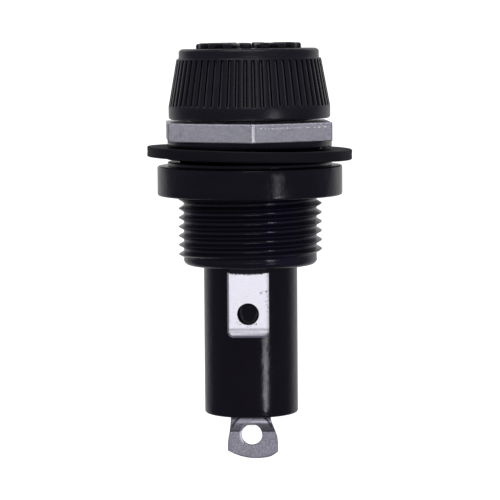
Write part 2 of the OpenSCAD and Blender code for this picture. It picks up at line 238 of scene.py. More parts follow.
def thread_rings(low, high, root, crest, pitch, crest_z, runout=None):
    """Rings of a right-hand thread from low to high. crest_z is a crest's height at angle 0."""
    climb = len(TOOTH)
    turns = math.ceil((high - low) / pitch) + 3
    first = crest_z - math.ceil((crest_z - low) / pitch + 1) * pitch
    rings = []
    for turn in range(turns):
        for dz, share in TOOTH:
            def ring(k, a, centre=first + turn * pitch, dz=dz, share=share):
                ridge = centre + pitch * a / TAU
                z = ridge + dz
                if z <= low or z >= high:
                    return root, min(max(z, low), high)
                fade = min(smooth_step((z - low) / END_FADE), smooth_step((high - z) / END_FADE))
                if runout:
                    fade *= smooth_step((ridge - runout) / RUNOUT_FADE)
                return root + (crest - root) * share * fade, z
            rings.append((ring, climb))
    return rings


print("rings in one turn of a thread:", len(TOOTH))

# %% [markdown]
# ## The body
#
# One moulding makes the neck, the flange, the threaded barrel, the shoulder and the lower tube. It is one
# closed skin here, outside and inside, so that it also looks right when the knob is out. A faint raised
# line runs down it where the mould's halves met. The slot for the side terminal and the flats that key the
# hex are cut afterwards with a Boolean modifier, the way a milling cutter would.

# %% Cutting tools
def keep_modifiers(piece):
    """Make what a piece's modifiers show its real mesh."""
    bpy.context.view_layer.update()
    evaluated = piece.evaluated_get(bpy.context.evaluated_depsgraph_get())
    mesh = bpy.data.meshes.new_from_object(evaluated)
    piece.modifiers.clear()
    piece.data = mesh


def cut_away(piece, bm, label):
    """Cut a bmesh in metres out of a piece, and use it up."""
    mesh = bpy.data.meshes.new(label)
    bm.to_mesh(mesh)
    bm.free()
    cutter = bpy.data.objects.new(label, mesh)
    bpy.context.scene.collection.objects.link(cutter)
    modifier = piece.modifiers.new("cut", "BOOLEAN")
    modifier.operation = "DIFFERENCE"
    modifier.object = cutter
    modifier.solver = "EXACT"
    keep_modifiers(piece)
    bpy.data.objects.remove(cutter)


def cut_box(piece, low, high):
    """Cut a box, given by two corners in millimetres, out of a piece."""
    bm = bmesh.new()
    bmesh.ops.create_cube(bm, size=1)
    for v in bm.verts:
        v.co = Vector(((low[i] + high[i]) / 2 + v.co[i] * (high[i] - low[i])) * MM for i in range(3))
    cut_away(piece, bm, "box_cutter")

# %% The mould's parting line
PARTING = math.radians(-85)          # where the mould's two halves met
SEAM_HALF = math.radians(0.4)
SEAM_HEIGHT, POLISHED_SEAM = 0.028, 0.004
SEAM_STEPS = (-0.8, -0.4, -0.15, 0, 0.15, 0.4, 0.8)


def seam_line(angle, height=SEAM_HEIGHT):
    """How far the parting line stands proud at an angle."""
    away = abs((angle - PARTING + math.pi / 2) % math.pi - math.pi / 2)
    return height * max(0.0, 1 - away / SEAM_HALF)


def seamed(r, z):
    """A circle with the parting line on it, nearly polished away."""
    return (lambda k, a: (r + seam_line(a, POLISHED_SEAM), z), 0)


parting_columns = [PARTING + side * math.pi + math.radians(d) for side in (0, 1) for d in SEAM_STEPS]
body_columns = even_columns(144, parting_columns)
print("columns round the body:", len(body_columns))

# %% [markdown]
# The outline is listed in the order that the skin climbs it: from the hole in the tube's floor out and up
# the outside, over the flange and the neck's lip, and down the inside again. Corners that the mould left
# round are short arcs.

# %% The body's outline
FOOT_ROUND, SHOULDER_ROUND = 0.35, 0.9
FLANGE_UNDER, FLANGE_OVER = 0.15, 0.1        # rounds of the flange's two edges
NECK_R, LIP_R = 9.6, 9.95
POCKET_R, POCKET_Z = 7.8, -12.0
BORE_R, FLOOR_Z = 5.55, -39.6
end_z, top_z = body_lo.z, body_hi.z

outside = [(RIVET_HOLE_R, end_z), (RIVET_HOLE_R + 0.15, end_z)]
outside += [(TUBE_R - 1.5, end_z), (TUBE_R - 0.5, end_z)]
outside += arc(TUBE_R - FOOT_ROUND, end_z + FOOT_ROUND, FOOT_ROUND, -90, 0)
outside += [(TUBE_R, end_z + (SHOULDER_Z - end_z) * t) for t in (0.06, 0.25, 0.5, 0.75, 0.97)]
outside += [(TUBE_R, SHOULDER_Z - 0.1), (TUBE_R + 0.1, SHOULDER_Z), (8.0, SHOULDER_Z), (9.2, SHOULDER_Z)]
outside += arc(SHOULDER_R - SHOULDER_ROUND, SHOULDER_Z + SHOULDER_ROUND, SHOULDER_ROUND, -90, 0, 8)
outside += [(SHOULDER_R, THREAD_END - 0.1)]

collar = [(BARREL_ROOT, -FLANGE_H), (FLANGE_R - 0.4, -FLANGE_H)]
collar += arc(FLANGE_R - FLANGE_UNDER, -FLANGE_H + FLANGE_UNDER, FLANGE_UNDER, -90, 0, 4)
collar += arc(FLANGE_R - FLANGE_OVER, -FLANGE_OVER, FLANGE_OVER, 0, 90, 4)
collar += [(NECK_R + 0.2, 0), (NECK_R, 0), (NECK_R, 1.4), (NECK_R, HEX_H + 0.01)]
collar += [(LIP_R, HEX_H + 0.02), (LIP_R, HEX_H + 0.3), (NECK_R, HEX_H + 0.65)]

inside = [(NECK_R, top_z - 0.3), (NECK_R - 0.1, top_z - 0.1), (NECK_R - 0.3, top_z)]
inside += [(POCKET_R + 0.1, top_z), (POCKET_R, top_z - 0.1), (POCKET_R, -2), (POCKET_R, POCKET_Z)]
inside += [(BORE_R + 0.3, POCKET_Z), (BORE_R, POCKET_Z - 0.3), (BORE_R, -25), (BORE_R, FLOOR_Z)]
inside += [(RIVET_HOLE_R + 0.1, FLOOR_Z), (RIVET_HOLE_R, FLOOR_Z - 0.1)]
print("outline points:", len(outside + collar + inside))

# %% Skin and cut the body
THREAD_RUNOUT = -17.78       # below this the thread sinks into the barrel
NECK_FLAT, FLAT_CLEAR = 9, 15
BODY_SHARP = 32

rings = [seamed(*p) if p[0] > RIVET_HOLE_R + 1 else (p, 0) for p in outside]
for ring, climb in thread_rings(THREAD_END, -FLANGE_H - 0.01, BARREL_ROOT, BARREL_R, BARREL_PITCH,
                                BARREL_CREST, runout=THREAD_RUNOUT):
    rings.append((lambda k, a, ring=ring: (ring(k, a)[0] + seam_line(a), ring(k, a)[1]), climb))
rings += [seamed(*p) for p in collar] + plain(inside)
bm = bmesh.new()
ring_skin(bm, rings, body_columns)
body = finish_mesh(bm, "moulded_body", "holder")

slot_half = tab_hi.x + 0.05
cut_box(body, (-slot_half, tab_lo.y - 0.05, SHOULDER_Z - 1), (slot_half, tab_hi.y + 0.95, tab_hi.z + 0.5))
cut_box(body, (-FLAT_CLEAR, -FLAT_CLEAR, 0.003), (-NECK_FLAT, FLAT_CLEAR, HEX_H))
cut_box(body, (NECK_FLAT, -FLAT_CLEAR, 0.003), (FLAT_CLEAR, FLAT_CLEAR, HEX_H))
body.data.set_sharp_from_angle(angle=math.radians(BODY_SHARP))
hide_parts("body")
print("body:", len(body.data.vertices), "points")

# %% [markdown]
# ## The knob
#
# The real knob is one moulding with sixty round flutes. Each flute is a shallow groove whose ends are
# round too, as a ball-nosed cutter leaves them in the mould. A groove's depth only depends on how far a
# point is from the groove's centre line, so one short table gives its edge, its wall and its bottom. The
# columns and rings are packed close where that depth changes, and far apart on the lands.

# %% A fluted ring
FLUTES = 60
KNOB_R = knob_hi.x
KNOB_BASE = knob_lo.z
GRIP_LO, GRIP_HI = 5.2, 12.5
GRIP_TOP_R = 11.15
GROOVE = [(0, 0.32), (0.06, 0.315), (0.11, 0.29), (0.17, 0.2), (0.23, 0.09), (0.28, 0.025), (0.34, 0)]
groove_steps = [x for x, _ in GROOVE]
flute_pitch = TAU / FLUTES
mid_grip_r = (KNOB_R + GRIP_TOP_R) / 2


def groove_depth(away):
    """Depth of a flute at a distance from its centre line."""
    for (x0, d0), (x1, d1) in zip(GROOVE, GROOVE[1:]):
        if away < x1:
            return d0 + (d1 - d0) * (away - x0) / (x1 - x0)
    return 0.0


def fluted(z, beyond=0.0):
    """A ring of the grip. beyond is how far it lies past the end of a groove's centre line."""
    def ring(k, a):
        r = KNOB_R + (GRIP_TOP_R - KNOB_R) * (z - GRIP_LO) / (GRIP_HI - GRIP_LO)
        aside = (a + flute_pitch / 2) % flute_pitch - flute_pitch / 2
        return r - groove_depth(math.hypot(aside * mid_grip_r, beyond)), z
    return ring, 0


knob_columns = []
for i in range(FLUTES):
    for x in [-s for s in groove_steps[:0:-1]] + groove_steps:
        knob_columns.append((i * flute_pitch + x / mid_grip_r) % TAU)
    knob_columns.append((i + 0.5) * flute_pitch)
knob_columns.sort()
print("columns round the knob:", len(knob_columns))

# %% Skin the knob
BAND_R = 10.8
KNOB_FACE = 14.06
CAVITY_R, CAVITY_TOP = 10.2, 8.5             # the hollow that covers the neck
SOCKET_R, SOCKET_TOP = 7.07, 10.65           # where the sleeve is pressed in
SCREW_HOLE_R, SCREW_HOLE_TOP = 1.2, 12.9

groove_end = groove_steps[-1]
flute_lo, flute_hi = GRIP_LO + groove_end - 0.02, GRIP_HI - groove_end - 0.02
rings = plain([(0, KNOB_FACE), (5, KNOB_FACE), (BAND_R - 0.55, KNOB_FACE)])
rings += plain([(BAND_R - 0.4, KNOB_FACE - 0.04), (BAND_R - 0.12, KNOB_FACE - 0.22)])
rings += plain([(BAND_R - 0.02, KNOB_FACE - 0.38), (BAND_R, KNOB_FACE - 0.5), (BAND_R, GRIP_HI + 0.6)])
rings += plain([(BAND_R + 0.02, GRIP_HI + 0.2), (BAND_R + 0.07, GRIP_HI + 0.12)])
rings += plain([(GRIP_TOP_R - 0.14, GRIP_HI + 0.07), (GRIP_TOP_R - 0.03, GRIP_HI + 0.03)])
rings += [fluted(flute_hi + x, x) for x in groove_steps[::-1]]
rings += [fluted(flute_hi + (flute_lo - flute_hi) * t) for t in (0.2, 0.4, 0.6, 0.8)]
rings += [fluted(flute_lo - x, x) for x in groove_steps]
rings += plain([(KNOB_R, GRIP_LO - 0.2), (KNOB_R, KNOB_BASE + 0.35), (KNOB_R - 0.08, KNOB_BASE + 0.12)])
rings += plain([(KNOB_R - 0.25, KNOB_BASE), (CAVITY_R + 0.1, KNOB_BASE), (CAVITY_R, KNOB_BASE + 0.1)])
rings += plain([(CAVITY_R, CAVITY_TOP - 0.1), (CAVITY_R - 0.1, CAVITY_TOP)])
rings += plain([(SOCKET_R + 0.1, CAVITY_TOP), (SOCKET_R, CAVITY_TOP + 0.1), (SOCKET_R, SOCKET_TOP)])
rings += plain([(SCREW_HOLE_R + 0.1, SOCKET_TOP), (SCREW_HOLE_R, SOCKET_TOP + 0.1)])
rings += plain([(SCREW_HOLE_R, SCREW_HOLE_TOP - 0.1), (SCREW_HOLE_R - 0.1, SCREW_HOLE_TOP)])
rings += plain([(0, SCREW_HOLE_TOP)])
bm = bmesh.new()
ring_skin(bm, rings, knob_columns, closed=False)
print("knob's skin:", len(bm.faces), "faces")

# %% [markdown]
# The face of the knob carries a ring of raised bars, a plain grip pattern for a fingertip. Each bar is a
# box whose edges are bevelled, and the bars' heights differ by a tenth of a millimetre, as hand-cut ones
# do in an old mould. An odd number of bars leaves no gap that can be seen through. The finished knob leans
# a third of a degree, because its screw has play.

# %% Bars on the knob's face
BARS = 17
BAR_LENGTH, BAR_WIDTH, BAR_BEVEL = 3.4, 1.5, 0.3
BAR_R = 6.4                  # middle of a bar, from the axis
BAR_SPREAD = 0.16            # how much lower the lowest may be
BAR_SUNK = 0.2               # how deep it goes into the knob
KNOB_TILT = math.radians(0.3)
KNOB_SHARP = 38
mould_marks = random.Random(7)
for i in range(BARS):
    made = bmesh.ops.create_cube(bm, size=1)["verts"]
    height = knob_hi.z - KNOB_FACE - mould_marks.uniform(0, BAR_SPREAD)
    bmesh.ops.scale(bm, vec=(BAR_LENGTH, BAR_WIDTH, height + BAR_SUNK), verts=made)
    bmesh.ops.translate(bm, vec=(BAR_R, 0, KNOB_FACE + (height - BAR_SUNK) / 2), verts=made)
    turn = TAU * i / BARS - math.pi / 2
    bmesh.ops.rotate(bm, cent=(0, 0, 0), matrix=Matrix.Rotation(turn, 3, "Z"), verts=made)
    edges = list({e for v in made for e in v.link_edges})
    bmesh.ops.bevel(bm, geom=edges, offset=BAR_BEVEL, segments=3, profile=0.5, affect="EDGES")
bmesh.ops.rotate(bm, cent=(0, 0, KNOB_BASE), matrix=Matrix.Rotation(-KNOB_TILT, 3, "Y"), verts=bm.verts)
knob = finish_mesh(bm, "fluted_knob", "knob_assembly", sharp=KNOB_SHARP)
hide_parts("knob")
print("knob:", len(knob.data.vertices), "points")

# %% [markdown]
# ## The hex
#
# The metal hex is sheet-cut or turned stock with its corners knocked off. A ring at one height is a
# hexagon with round corners, held inside a circle that shrinks near the two faces. That gives the curved
# little facets that a lathe leaves on a nut's corners. Its bore has two flats that match the neck. The hole
# was punched a quarter of a millimetre off the middle, so the outside is moved over at the end.

# %% A hexagon with round corners
HEX_AF = 24.95
HEX_TURN = math.radians(36)
CORNER_ROUND = 0.35
HEX_BORE_R, HEX_BORE_FLAT = 9.64, 9.04
hex_corner_r = HEX_AF / 2 / math.cos(math.pi / 6)


def hexagon(a, af):
    """Radius of a hexagon with round corners at an angle. af is its width across flats."""
    off = (a - HEX_TURN) % (math.pi / 3)
    off = min(off, math.pi / 3 - off)                # angle from the nearest corner
    flat_r = af / 2 / math.cos(math.pi / 6 - off)
    centre = (af / 2 - CORNER_ROUND) / math.cos(math.pi / 6)
    reach = centre * math.cos(off) + math.sqrt(max(CORNER_ROUND ** 2 - (centre * math.sin(off)) ** 2, 0))
    tangent = math.atan2(CORNER_ROUND * 0.5, centre + CORNER_ROUND * math.cos(math.pi / 6))
    return reach if off < tangent else flat_r


def hex_ring(z, inset, circle):
    return (lambda k, a: (min(hexagon(a, HEX_AF - 2 * inset), circle), z), 0)


def bore_ring(z, wider):
    """A ring of the bore, which has two flats that face +X and -X."""
    return (lambda k, a: (min(HEX_BORE_R, HEX_BORE_FLAT / max(abs(math.cos(a)), 1e-6)) + wider, z), 0)


print("hex: %.2f mm over the corners" % (2 * hex_corner_r))

# %% Skin the hex
HEX_SHIFT = -0.25
HEX_CHAMFER = 0.25
HEX_SHARP = 28
OUTSIDE_FROM = 11            # every point beyond this radius is on the outside
CORNER_STEPS = (0, 0.3, 0.6, 0.9, 1.3, 1.8, 2.4, 3.2, 4.5, 7)

near_corners = [HEX_TURN + i * math.pi / 3 + s * math.radians(d)
                for i in range(6) for s in (-1, 1) for d in CORNER_STEPS]
flat_corners = [s * math.acos(HEX_BORE_FLAT / HEX_BORE_R) + t for s in (-1, 1) for t in (0, math.pi)]
hex_columns = even_columns(72, near_corners + flat_corners)
circle = hex_corner_r + 0.02
rows = [(0, 0.09, circle - HEX_CHAMFER - 0.05), (0.03, 0.03, circle - HEX_CHAMFER + 0.02),
        (0.09, 0, circle - 0.14), (0.2, 0, circle - 0.05), (0.35, 0, circle)]
profile = [hex_ring(z, inset, c) for z, inset, c in rows]
profile += [hex_ring(HEX_H - z, inset, c) for z, inset, c in reversed(rows)]
profile += [bore_ring(z, wider) for z, wider in ((HEX_H, 0.12), (HEX_H - 0.12, 0), (0.12, 0), (0, 0.12))]
bm = bmesh.new()
ring_skin(bm, profile, hex_columns)
for v in bm.verts:
    if math.hypot(v.co.x, v.co.y) > OUTSIDE_FROM:
        v.co.x += HEX_SHIFT
hex_piece = finish_mesh(bm, "metal_hex", "holder", sharp=HEX_SHARP)
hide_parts("hex_collar")
print("hex:", len(hex_piece.data.vertices), "points")

# %% [markdown]
# ## The nut
#
# The nut is moulded too. Its thread is the barrel's own thread, 0.14 mm larger, so the two mesh at any
# angle. The skin climbs the thread first and then goes over the boss and down the outside.

# %% Mounting nut
NUT_GAP = 0.14
NUT_R = nut_hi.x
BOSS_R, BOSS_ROUND = 12.7, 0.18
NUT_SHOULDER = -3.9
RIM_OVER, RIM_UNDER = 0.3, 0.35              # rounds of the rim's two edges
low, high = nut_lo.z, nut_hi.z
rings = thread_rings(low, high, BARREL_ROOT + NUT_GAP, BARREL_R + NUT_GAP, BARREL_PITCH, BARREL_CREST)
rings += plain([(BARREL_R + 0.3, high)])
rings += plain(arc(BOSS_R - BOSS_ROUND, high - BOSS_ROUND, BOSS_ROUND, 90, 0, 4))
rings += plain([(BOSS_R, NUT_SHOULDER + 0.08), (BOSS_R + 0.08, NUT_SHOULDER)])
rings += plain(arc(NUT_R - RIM_OVER, NUT_SHOULDER - RIM_OVER, RIM_OVER, 90, 0, 6))
rings += plain([(NUT_R, NUT_SHOULDER - 1.2), (NUT_R, low + 1.2)])
rings += plain(arc(NUT_R - RIM_UNDER, low + RIM_UNDER, RIM_UNDER, 0, -90, 6))
rings += plain([(BARREL_R + 0.3, low)])
bm = bmesh.new()
ring_skin(bm, rings, even_columns(144))
nut = finish_mesh(bm, "moulded_nut", "nut")
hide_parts("mounting_nut")
print("nut:", len(nut.data.vertices), "points")

# %% [markdown]
# ## The rubber washer
#
# The washer is punched from sheet rubber and lies loose, a degree out of level. Its rim, which sticks out
# beyond the flange, has taken a slight curl, and its underside sags a little on the left. A punched edge is
# slightly waisted and never quite round, so the rings also wander by a few hundredths of a millimetre.

# %% Rubber washer
WASHER_R, WASHER_BORE = 15.85, 11.35
WASHER_T = 1.65
WASHER_Z = -2.13
WASHER_TILT = math.radians(1)
WASHER_ROUND = 0.22
CURL_FROM, CURL = 12.8, 0.3
RIM_WANDER, FLAT_WANDER = 0.03, 0.02
SAG = 0.2


def punched(r, z, wander=RIM_WANDER, sag=0.0):
    """A ring of the washer. Its rim curls up where it is free of the flange, and it can sag on the left."""
    def ring(k, a):
        curled = CURL * smooth_step((r - CURL_FROM) / (WASHER_R - CURL_FROM))
        lift = FLAT_WANDER * math.sin(2 * a + 0.6)
        lift -= sag * (0.5 - 0.5 * math.cos(a)) ** 2
        lift += curled * (0.45 - 0.25 * math.cos(a) - 0.3 * math.sin(a))
        return r - wander * (0.5 + 0.5 * math.sin(3 * a + 1) * math.cos(2 * a)), z + lift
    return ring, 0


half = WASHER_T / 2 - 0.025                  # the wandering faces stay inside the true thickness
edge = arc(WASHER_R - WASHER_ROUND, half - WASHER_ROUND, WASHER_ROUND, 90, 0, 5)
edge += [(WASHER_R - 0.04, 0.0)]
edge += arc(WASHER_R - WASHER_ROUND, -half + WASHER_ROUND, WASHER_ROUND, 0, -90, 5)
rings = [punched(r, z) for r, z in edge]
rings += [punched(r, -half, 0) for r in (14.9, 14.2, 13.5, 13.1)]
rings += [punched(r, -half, 0, SAG) for r in (12.7, WASHER_BORE + 0.12)]
rings += [punched(WASHER_BORE, -half + 0.12, 0, SAG), punched(WASHER_BORE, half - 0.12, 0)]
rings += [punched(r, half, 0) for r in (WASHER_BORE + 0.12, 12.8, 13.5, 14.2, 14.9)]
bm = bmesh.new()
ring_skin(bm, rings, even_columns(120))
bmesh.ops.rotate(bm, cent=(0, 0, 0), matrix=Matrix.Rotation(WASHER_TILT, 3, "Y"), verts=bm.verts)
bmesh.ops.translate(bm, vec=(0, 0, WASHER_Z), verts=bm.verts)
washer = finish_mesh(bm, "sealing_washer", "washer")
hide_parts("rubber_washer")
print("washer:", [round(c, 2) for c in washer.dimensions / MM])

# %% [markdown]
# ## The side terminal
#
# A quarter-inch strip of brass, blanked in a press and tinned. The press rounds the edges on one side
# and the last millimetre curls back a little. The blank is three outlines one behind another. The front
# one is drawn in, which makes the bevel. The holes are cut with round cutters, and a fine Bevel modifier
# then breaks every sharp edge. A Weighted Normal modifier keeps the broad faces flat in the light.

# %% Breaking edges and cutting holes
BEVEL_FROM, STILL_SHARP = math.radians(35), math.radians(50)


def soften(piece, width):
    """Break a piece's sharp edges, and keep the result as its mesh."""
    modifier = piece.modifiers.new("soften", "BEVEL")
    modifier.width = width * MM
    modifier.segments = 2
    modifier.limit_method = "ANGLE"
    modifier.angle_limit = BEVEL_FROM
    keep_modifiers(piece)
    piece.data.shade_smooth()
    piece.data.set_sharp_from_angle(angle=STILL_SHARP)
    modifier = piece.modifiers.new("flat faces", "WEIGHTED_NORMAL")
    modifier.weight = 90
    modifier.keep_sharp = True
    keep_modifiers(piece)


def cut_hole(piece, centre, radius, depth, axis="Y", sides=56):
    """Cut a round hole, centred on a point in millimetres."""
    bm = bmesh.new()
    bmesh.ops.create_cone(bm, cap_ends=True, segments=sides, radius1=radius * MM, radius2=radius * MM,
                          depth=depth * MM)
    turn = Matrix.Rotation(math.pi / 2, 4, "X") if axis == "Y" else Matrix.Identity(4)
    bmesh.ops.transform(bm, matrix=Matrix.Translation(Vector(centre) * MM) @ turn, verts=bm.verts)
    cut_away(piece, bm, "hole_cutter")


def join_loops(bm, near, far):
    """Faces between two closed loops of points."""
    for i in range(len(near)):
        j = (i + 1) % len(near)
        bm.faces.new((near[i], near[j], far[j], far[i]))

# %% The side terminal's blank
TAB_HOLE_R, TAB_HOLE_Z = 1.65, -26.15
SHELL_RIVET_R, SHELL_RIVET_Z = 0.92, -9
TAB_CUT = 0.8                # how much of each lower corner is cut off
TAB_BEVEL, TAB_SOFT = 0.3, 0.06
CURL_LENGTH, CURL_BACK = 1.15, 0.1
REAR_SHARE = 0.4             # the rear face moves less, so that it stays inside the CAD's box
tab_half = tab_hi.x
front, back = tab_lo.y, tab_hi.y


def tab_outline(inset, y):
    """The blank's outline at a depth, drawn in by inset on its sides and foot."""
    half_w, foot = tab_half - inset, tab_lo.z + inset
    cut = TAB_CUT - inset * 0.4
    corner = [(0, cut), (0.1, cut - 0.24), (cut * 0.36, cut * 0.36), (cut - 0.24, 0.1), (cut, 0)]
    left = [(-half_w + x, foot + z) for x, z in corner]
    right = [(half_w - x, foot + z) for x, z in reversed(corner)]
    return [(x, y, z) for x, z in [(-half_w, tab_hi.z)] + left + right + [(half_w, tab_hi.z)]]


print("side terminal's blank: %.2f mm wide" % (2 * tab_half))

# %% Side terminal
bm = bmesh.new()
loops = [[bm.verts.new(p) for p in tab_outline(inset, y)]
         for inset, y in ((0, back), (0, front + TAB_BEVEL * 0.8), (TAB_BEVEL, front))]
for near, far in zip(loops, loops[1:]):
    join_loops(bm, near, far)
bm.faces.new(loops[0])
bm.faces.new(loops[-1])
curl_z = tab_lo.z + CURL_LENGTH
for i in range(6):
    geometry = bm.verts[:] + bm.edges[:] + bm.faces[:]
    bmesh.ops.bisect_plane(bm, geom=geometry, plane_co=(0, 0, curl_z - 0.16 * i), plane_no=(0, 0, 1))
for v in bm.verts:
    if v.co.z < curl_z:
        share = REAR_SHARE if v.co.y > back - 0.1 else 1
        v.co.y += CURL_BACK * ((curl_z - v.co.z) / CURL_LENGTH) ** 2 * share
side_tab = finish_mesh(bm, "side_tab", "holder")
cut_hole(side_tab, (0, (front + back) / 2, TAB_HOLE_Z), TAB_HOLE_R, 4)
cut_hole(side_tab, (0, (front + back) / 2, SHELL_RIVET_Z), SHELL_RIVET_R, 4, sides=32)
soften(side_tab, TAB_SOFT)
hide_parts("side_terminal")
print("side tab:", [round(c, 2) for c in side_tab.dimensions / MM])

# %% [markdown]
# ## The end terminal
#
# This one is a foot riveted under the tube, folded down in front into a flared blade. A folded sheet is
# easy to make as rows across the strip: each row has a front point, a back point and a width. The fold is
# a run of rows round a small arc. The last rows bend into the round tip. The blade stands a little to the
# right of its foot, and its tip was rounded further to the right still, as hand-bent lugs often are.

# %% The lug's widths
LUG_X = 0.38                 # how far the blade stands to the right
LUG_HOLE_X, LUG_HOLE_Z, LUG_HOLE_R = 0.23, -45.36, 1.5875
FLARE_Z = -46.5              # from here down the tip rounds in
OUTLINE = [(end_z, 3.03), (-42.6, 3.06), (-43.4, 3.18), (-44.0, 3.31), (-44.66, 3.48), (-45.3, 3.66),
           (-45.9, 3.79), (FLARE_Z, 3.86), (-60, 3.9)]
ACROSS = (-1, -0.9, -0.72, -0.5, -0.25, 0, 0.25, 0.5, 0.72, 0.9, 1)


def blade_half(z):
    """Half the blade's width at a height."""
    for (z0, w0), (z1, w1) in zip(OUTLINE, OUTLINE[1:]):
        if z > z1:
            return w0 + (w1 - w0) * min(max((z0 - z) / (z0 - z1), 0), 1)


def blade_x(z, u):
    """A point's place across the blade. u runs from -1 at the left edge to 1 at the right."""
    return LUG_X * smooth_step((end_z + 0.4 - z) / 4) + u * blade_half(z)


print("blade: %.2f mm wide at its hole" % (2 * blade_half(LUG_HOLE_Z)))

# %% The lug's rows, from foot to tip
SHEET = tab_hi.y - tab_lo.y
BLADE_BACK = -3.6
BLADE_FRONT = BLADE_BACK - SHEET
CREASE_Z = LUG_HOLE_Z + 0.56
FOLD, FOLD_STEPS, FOLD_ROUND = math.radians(73), 8, 0.12
DISH = 0.09                  # a shallow dish, where the bending tool pressed
TIP_R, TIP_X, TIP_HALF = 8.5, 0.9, 3.88
TIP_CORNER = 0.4             # how much the tip's right corner is cut up
fold_y, fold_z = -2.9, end_z - SHEET - FOLD_ROUND

rows = [(y, end_z, y, end_z - SHEET) for y in (3.1, 1.0, -1.5)]
for i in range(FOLD_STEPS + 1):
    t = FOLD * i / FOLD_STEPS
    out, near = SHEET + FOLD_ROUND, FOLD_ROUND
    rows.append((fold_y - out * math.sin(t), fold_z + out * math.cos(t),
                 fold_y - near * math.sin(t), fold_z + near * math.cos(t)))
out_y, out_z, in_y, in_z = rows[-1]
for t in (0.2, 0.4, 0.6, 0.8, 0.92):
    dish = DISH * math.sin(math.pi * t)
    rows.append((out_y + (BLADE_FRONT - out_y) * t + dish, out_z + (CREASE_Z - out_z) * t,
                 in_y + (BLADE_BACK - in_y) * t + dish, in_z + (CREASE_Z - in_z) * t))
rows += [(BLADE_FRONT + 0.02, CREASE_Z - 0.03, BLADE_BACK + 0.03, CREASE_Z - 0.05)]
rows += [(BLADE_FRONT, z, BLADE_BACK, z) for z in (CREASE_Z - 0.22, -45.4, -45.9, FLARE_Z)]

loops = []
for fy, fz, by, bz in rows:
    row = [(blade_x(fz, u), fy, fz) for u in ACROSS]
    loops.append(row + [(blade_x(fz, u), by, bz) for u in reversed(ACROSS)])
for t in (0.3, 0.6, 0.85, 1):
    tip = []
    for u in ACROSS:
        x = LUG_X + u * TIP_HALF
        z = LUG_END + TIP_R - math.sqrt(TIP_R ** 2 - (x - TIP_X) ** 2)
        z += TIP_CORNER * smooth_step((u - 0.8) / 0.2)
        tip.append((x, FLARE_Z + t * (z - FLARE_Z)))
    loops.append([(x, BLADE_FRONT, z) for x, z in tip] + [(x, BLADE_BACK, z) for x, z in reversed(tip)])
print("rows down the lug:", len(loops))

# %% End terminal
LUG_SOFT = 0.07
bm = bmesh.new()
loops = [[bm.verts.new(p) for p in loop] for loop in loops]
for near, far in zip(loops, loops[1:]):
    join_loops(bm, near, far)
n = len(ACROSS)
for loop in (loops[0], loops[-1]):
    for i in range(n - 1):
        bm.faces.new((loop[i], loop[i + 1], loop[2 * n - 2 - i], loop[2 * n - 1 - i]))
end_lug = finish_mesh(bm, "end_lug", "holder")
cut_hole(end_lug, (LUG_HOLE_X, (BLADE_FRONT + BLADE_BACK) / 2, LUG_HOLE_Z), LUG_HOLE_R, 4.6)
cut_hole(end_lug, (0, 0, end_z - 0.5), RIVET_HOLE_R, 3, axis="Z", sides=40)
soften(end_lug, LUG_SOFT)
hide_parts("end_terminal")
print("end lug:", [round(c, 2) for c in end_lug.dimensions / MM])

# %% [markdown]
# ## The contact spring
#
# A coil of steel wire sits in the bottom of the tube and pushes the contact up against the fuse. A real one
# is wound on a mandrel, with its first and last turns closed so that it stands square.
# It could be a curve with a round bevel, but a spring has to shorten when the fuse goes in, and that works
# on a mesh. So the wire is a chain of rings along a helix.
# The whole coil rides on the plunger, and it gets a mesh of its own.

# %% The wire's path
COIL_R, WIRE_R, COIL_TURNS = 4.0, 0.45, 5
COIL_LOW, COIL_HIGH = -38.5, -31.5           # the wire's middle at each end
COIL_CLOSED = 0.94                           # pitch of a closed turn
COIL_STEPS, WIRE_SIDES = 40, 12              # rings in a turn, points in a ring


def coil_rise(turn):
    """Height of the wire's middle after so many turns: closed, then open, then closed."""
    height = COIL_HIGH - COIL_LOW
    if turn < 1:
        return COIL_CLOSED * turn
    if turn > COIL_TURNS - 1:
        return height - COIL_CLOSED * (COIL_TURNS - turn)
    return COIL_CLOSED + (turn - 1) * (height - 2 * COIL_CLOSED) / (COIL_TURNS - 2)


def wire_point(i, side):
    """A point of the wire's skin, at a step along it and a side round it."""
    a, b = TAU * i / COIL_STEPS, TAU * side / WIRE_SIDES
    r = COIL_R + WIRE_R * math.cos(b)
    return r * math.cos(a), r * math.sin(a), COIL_LOW + coil_rise(i / COIL_STEPS) + WIRE_R * math.sin(b)


print("open turns rise %.2f mm each" % (coil_rise(2) - coil_rise(1)))

# %% Coil
COIL_SHARP = 50
bm = bmesh.new()
loops = [[bm.verts.new(wire_point(i, side)) for side in range(WIRE_SIDES)]
         for i in range(COIL_TURNS * COIL_STEPS + 1)]
for near, far in zip(loops, loops[1:]):
    join_loops(bm, near, far)
bm.faces.new(loops[0])
bm.faces.new(loops[-1])
coil = finish_mesh(bm, "pressure_coil", "plunger", sharp=COIL_SHARP)
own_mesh(coil)
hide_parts("contact_spring")

# %% [markdown]
# ## Building finishes
#
# Every finish is a node tree. One short helper places a node, sets its plain inputs and links the others,
# so a finish reads like a recipe. Patterns are laid out in object space, in metres, so a scale of 1000
# means one feature per millimetre. They don't need unwrapped meshes, and they move with a piece.

# %% Node helpers
def feed(tree, socket, value):
    """Give an input a plain value, or link another node's output to it."""
    if isinstance(value, bpy.types.NodeSocket):
        tree.links.new(value, socket)
    else:
        socket.default_value = value


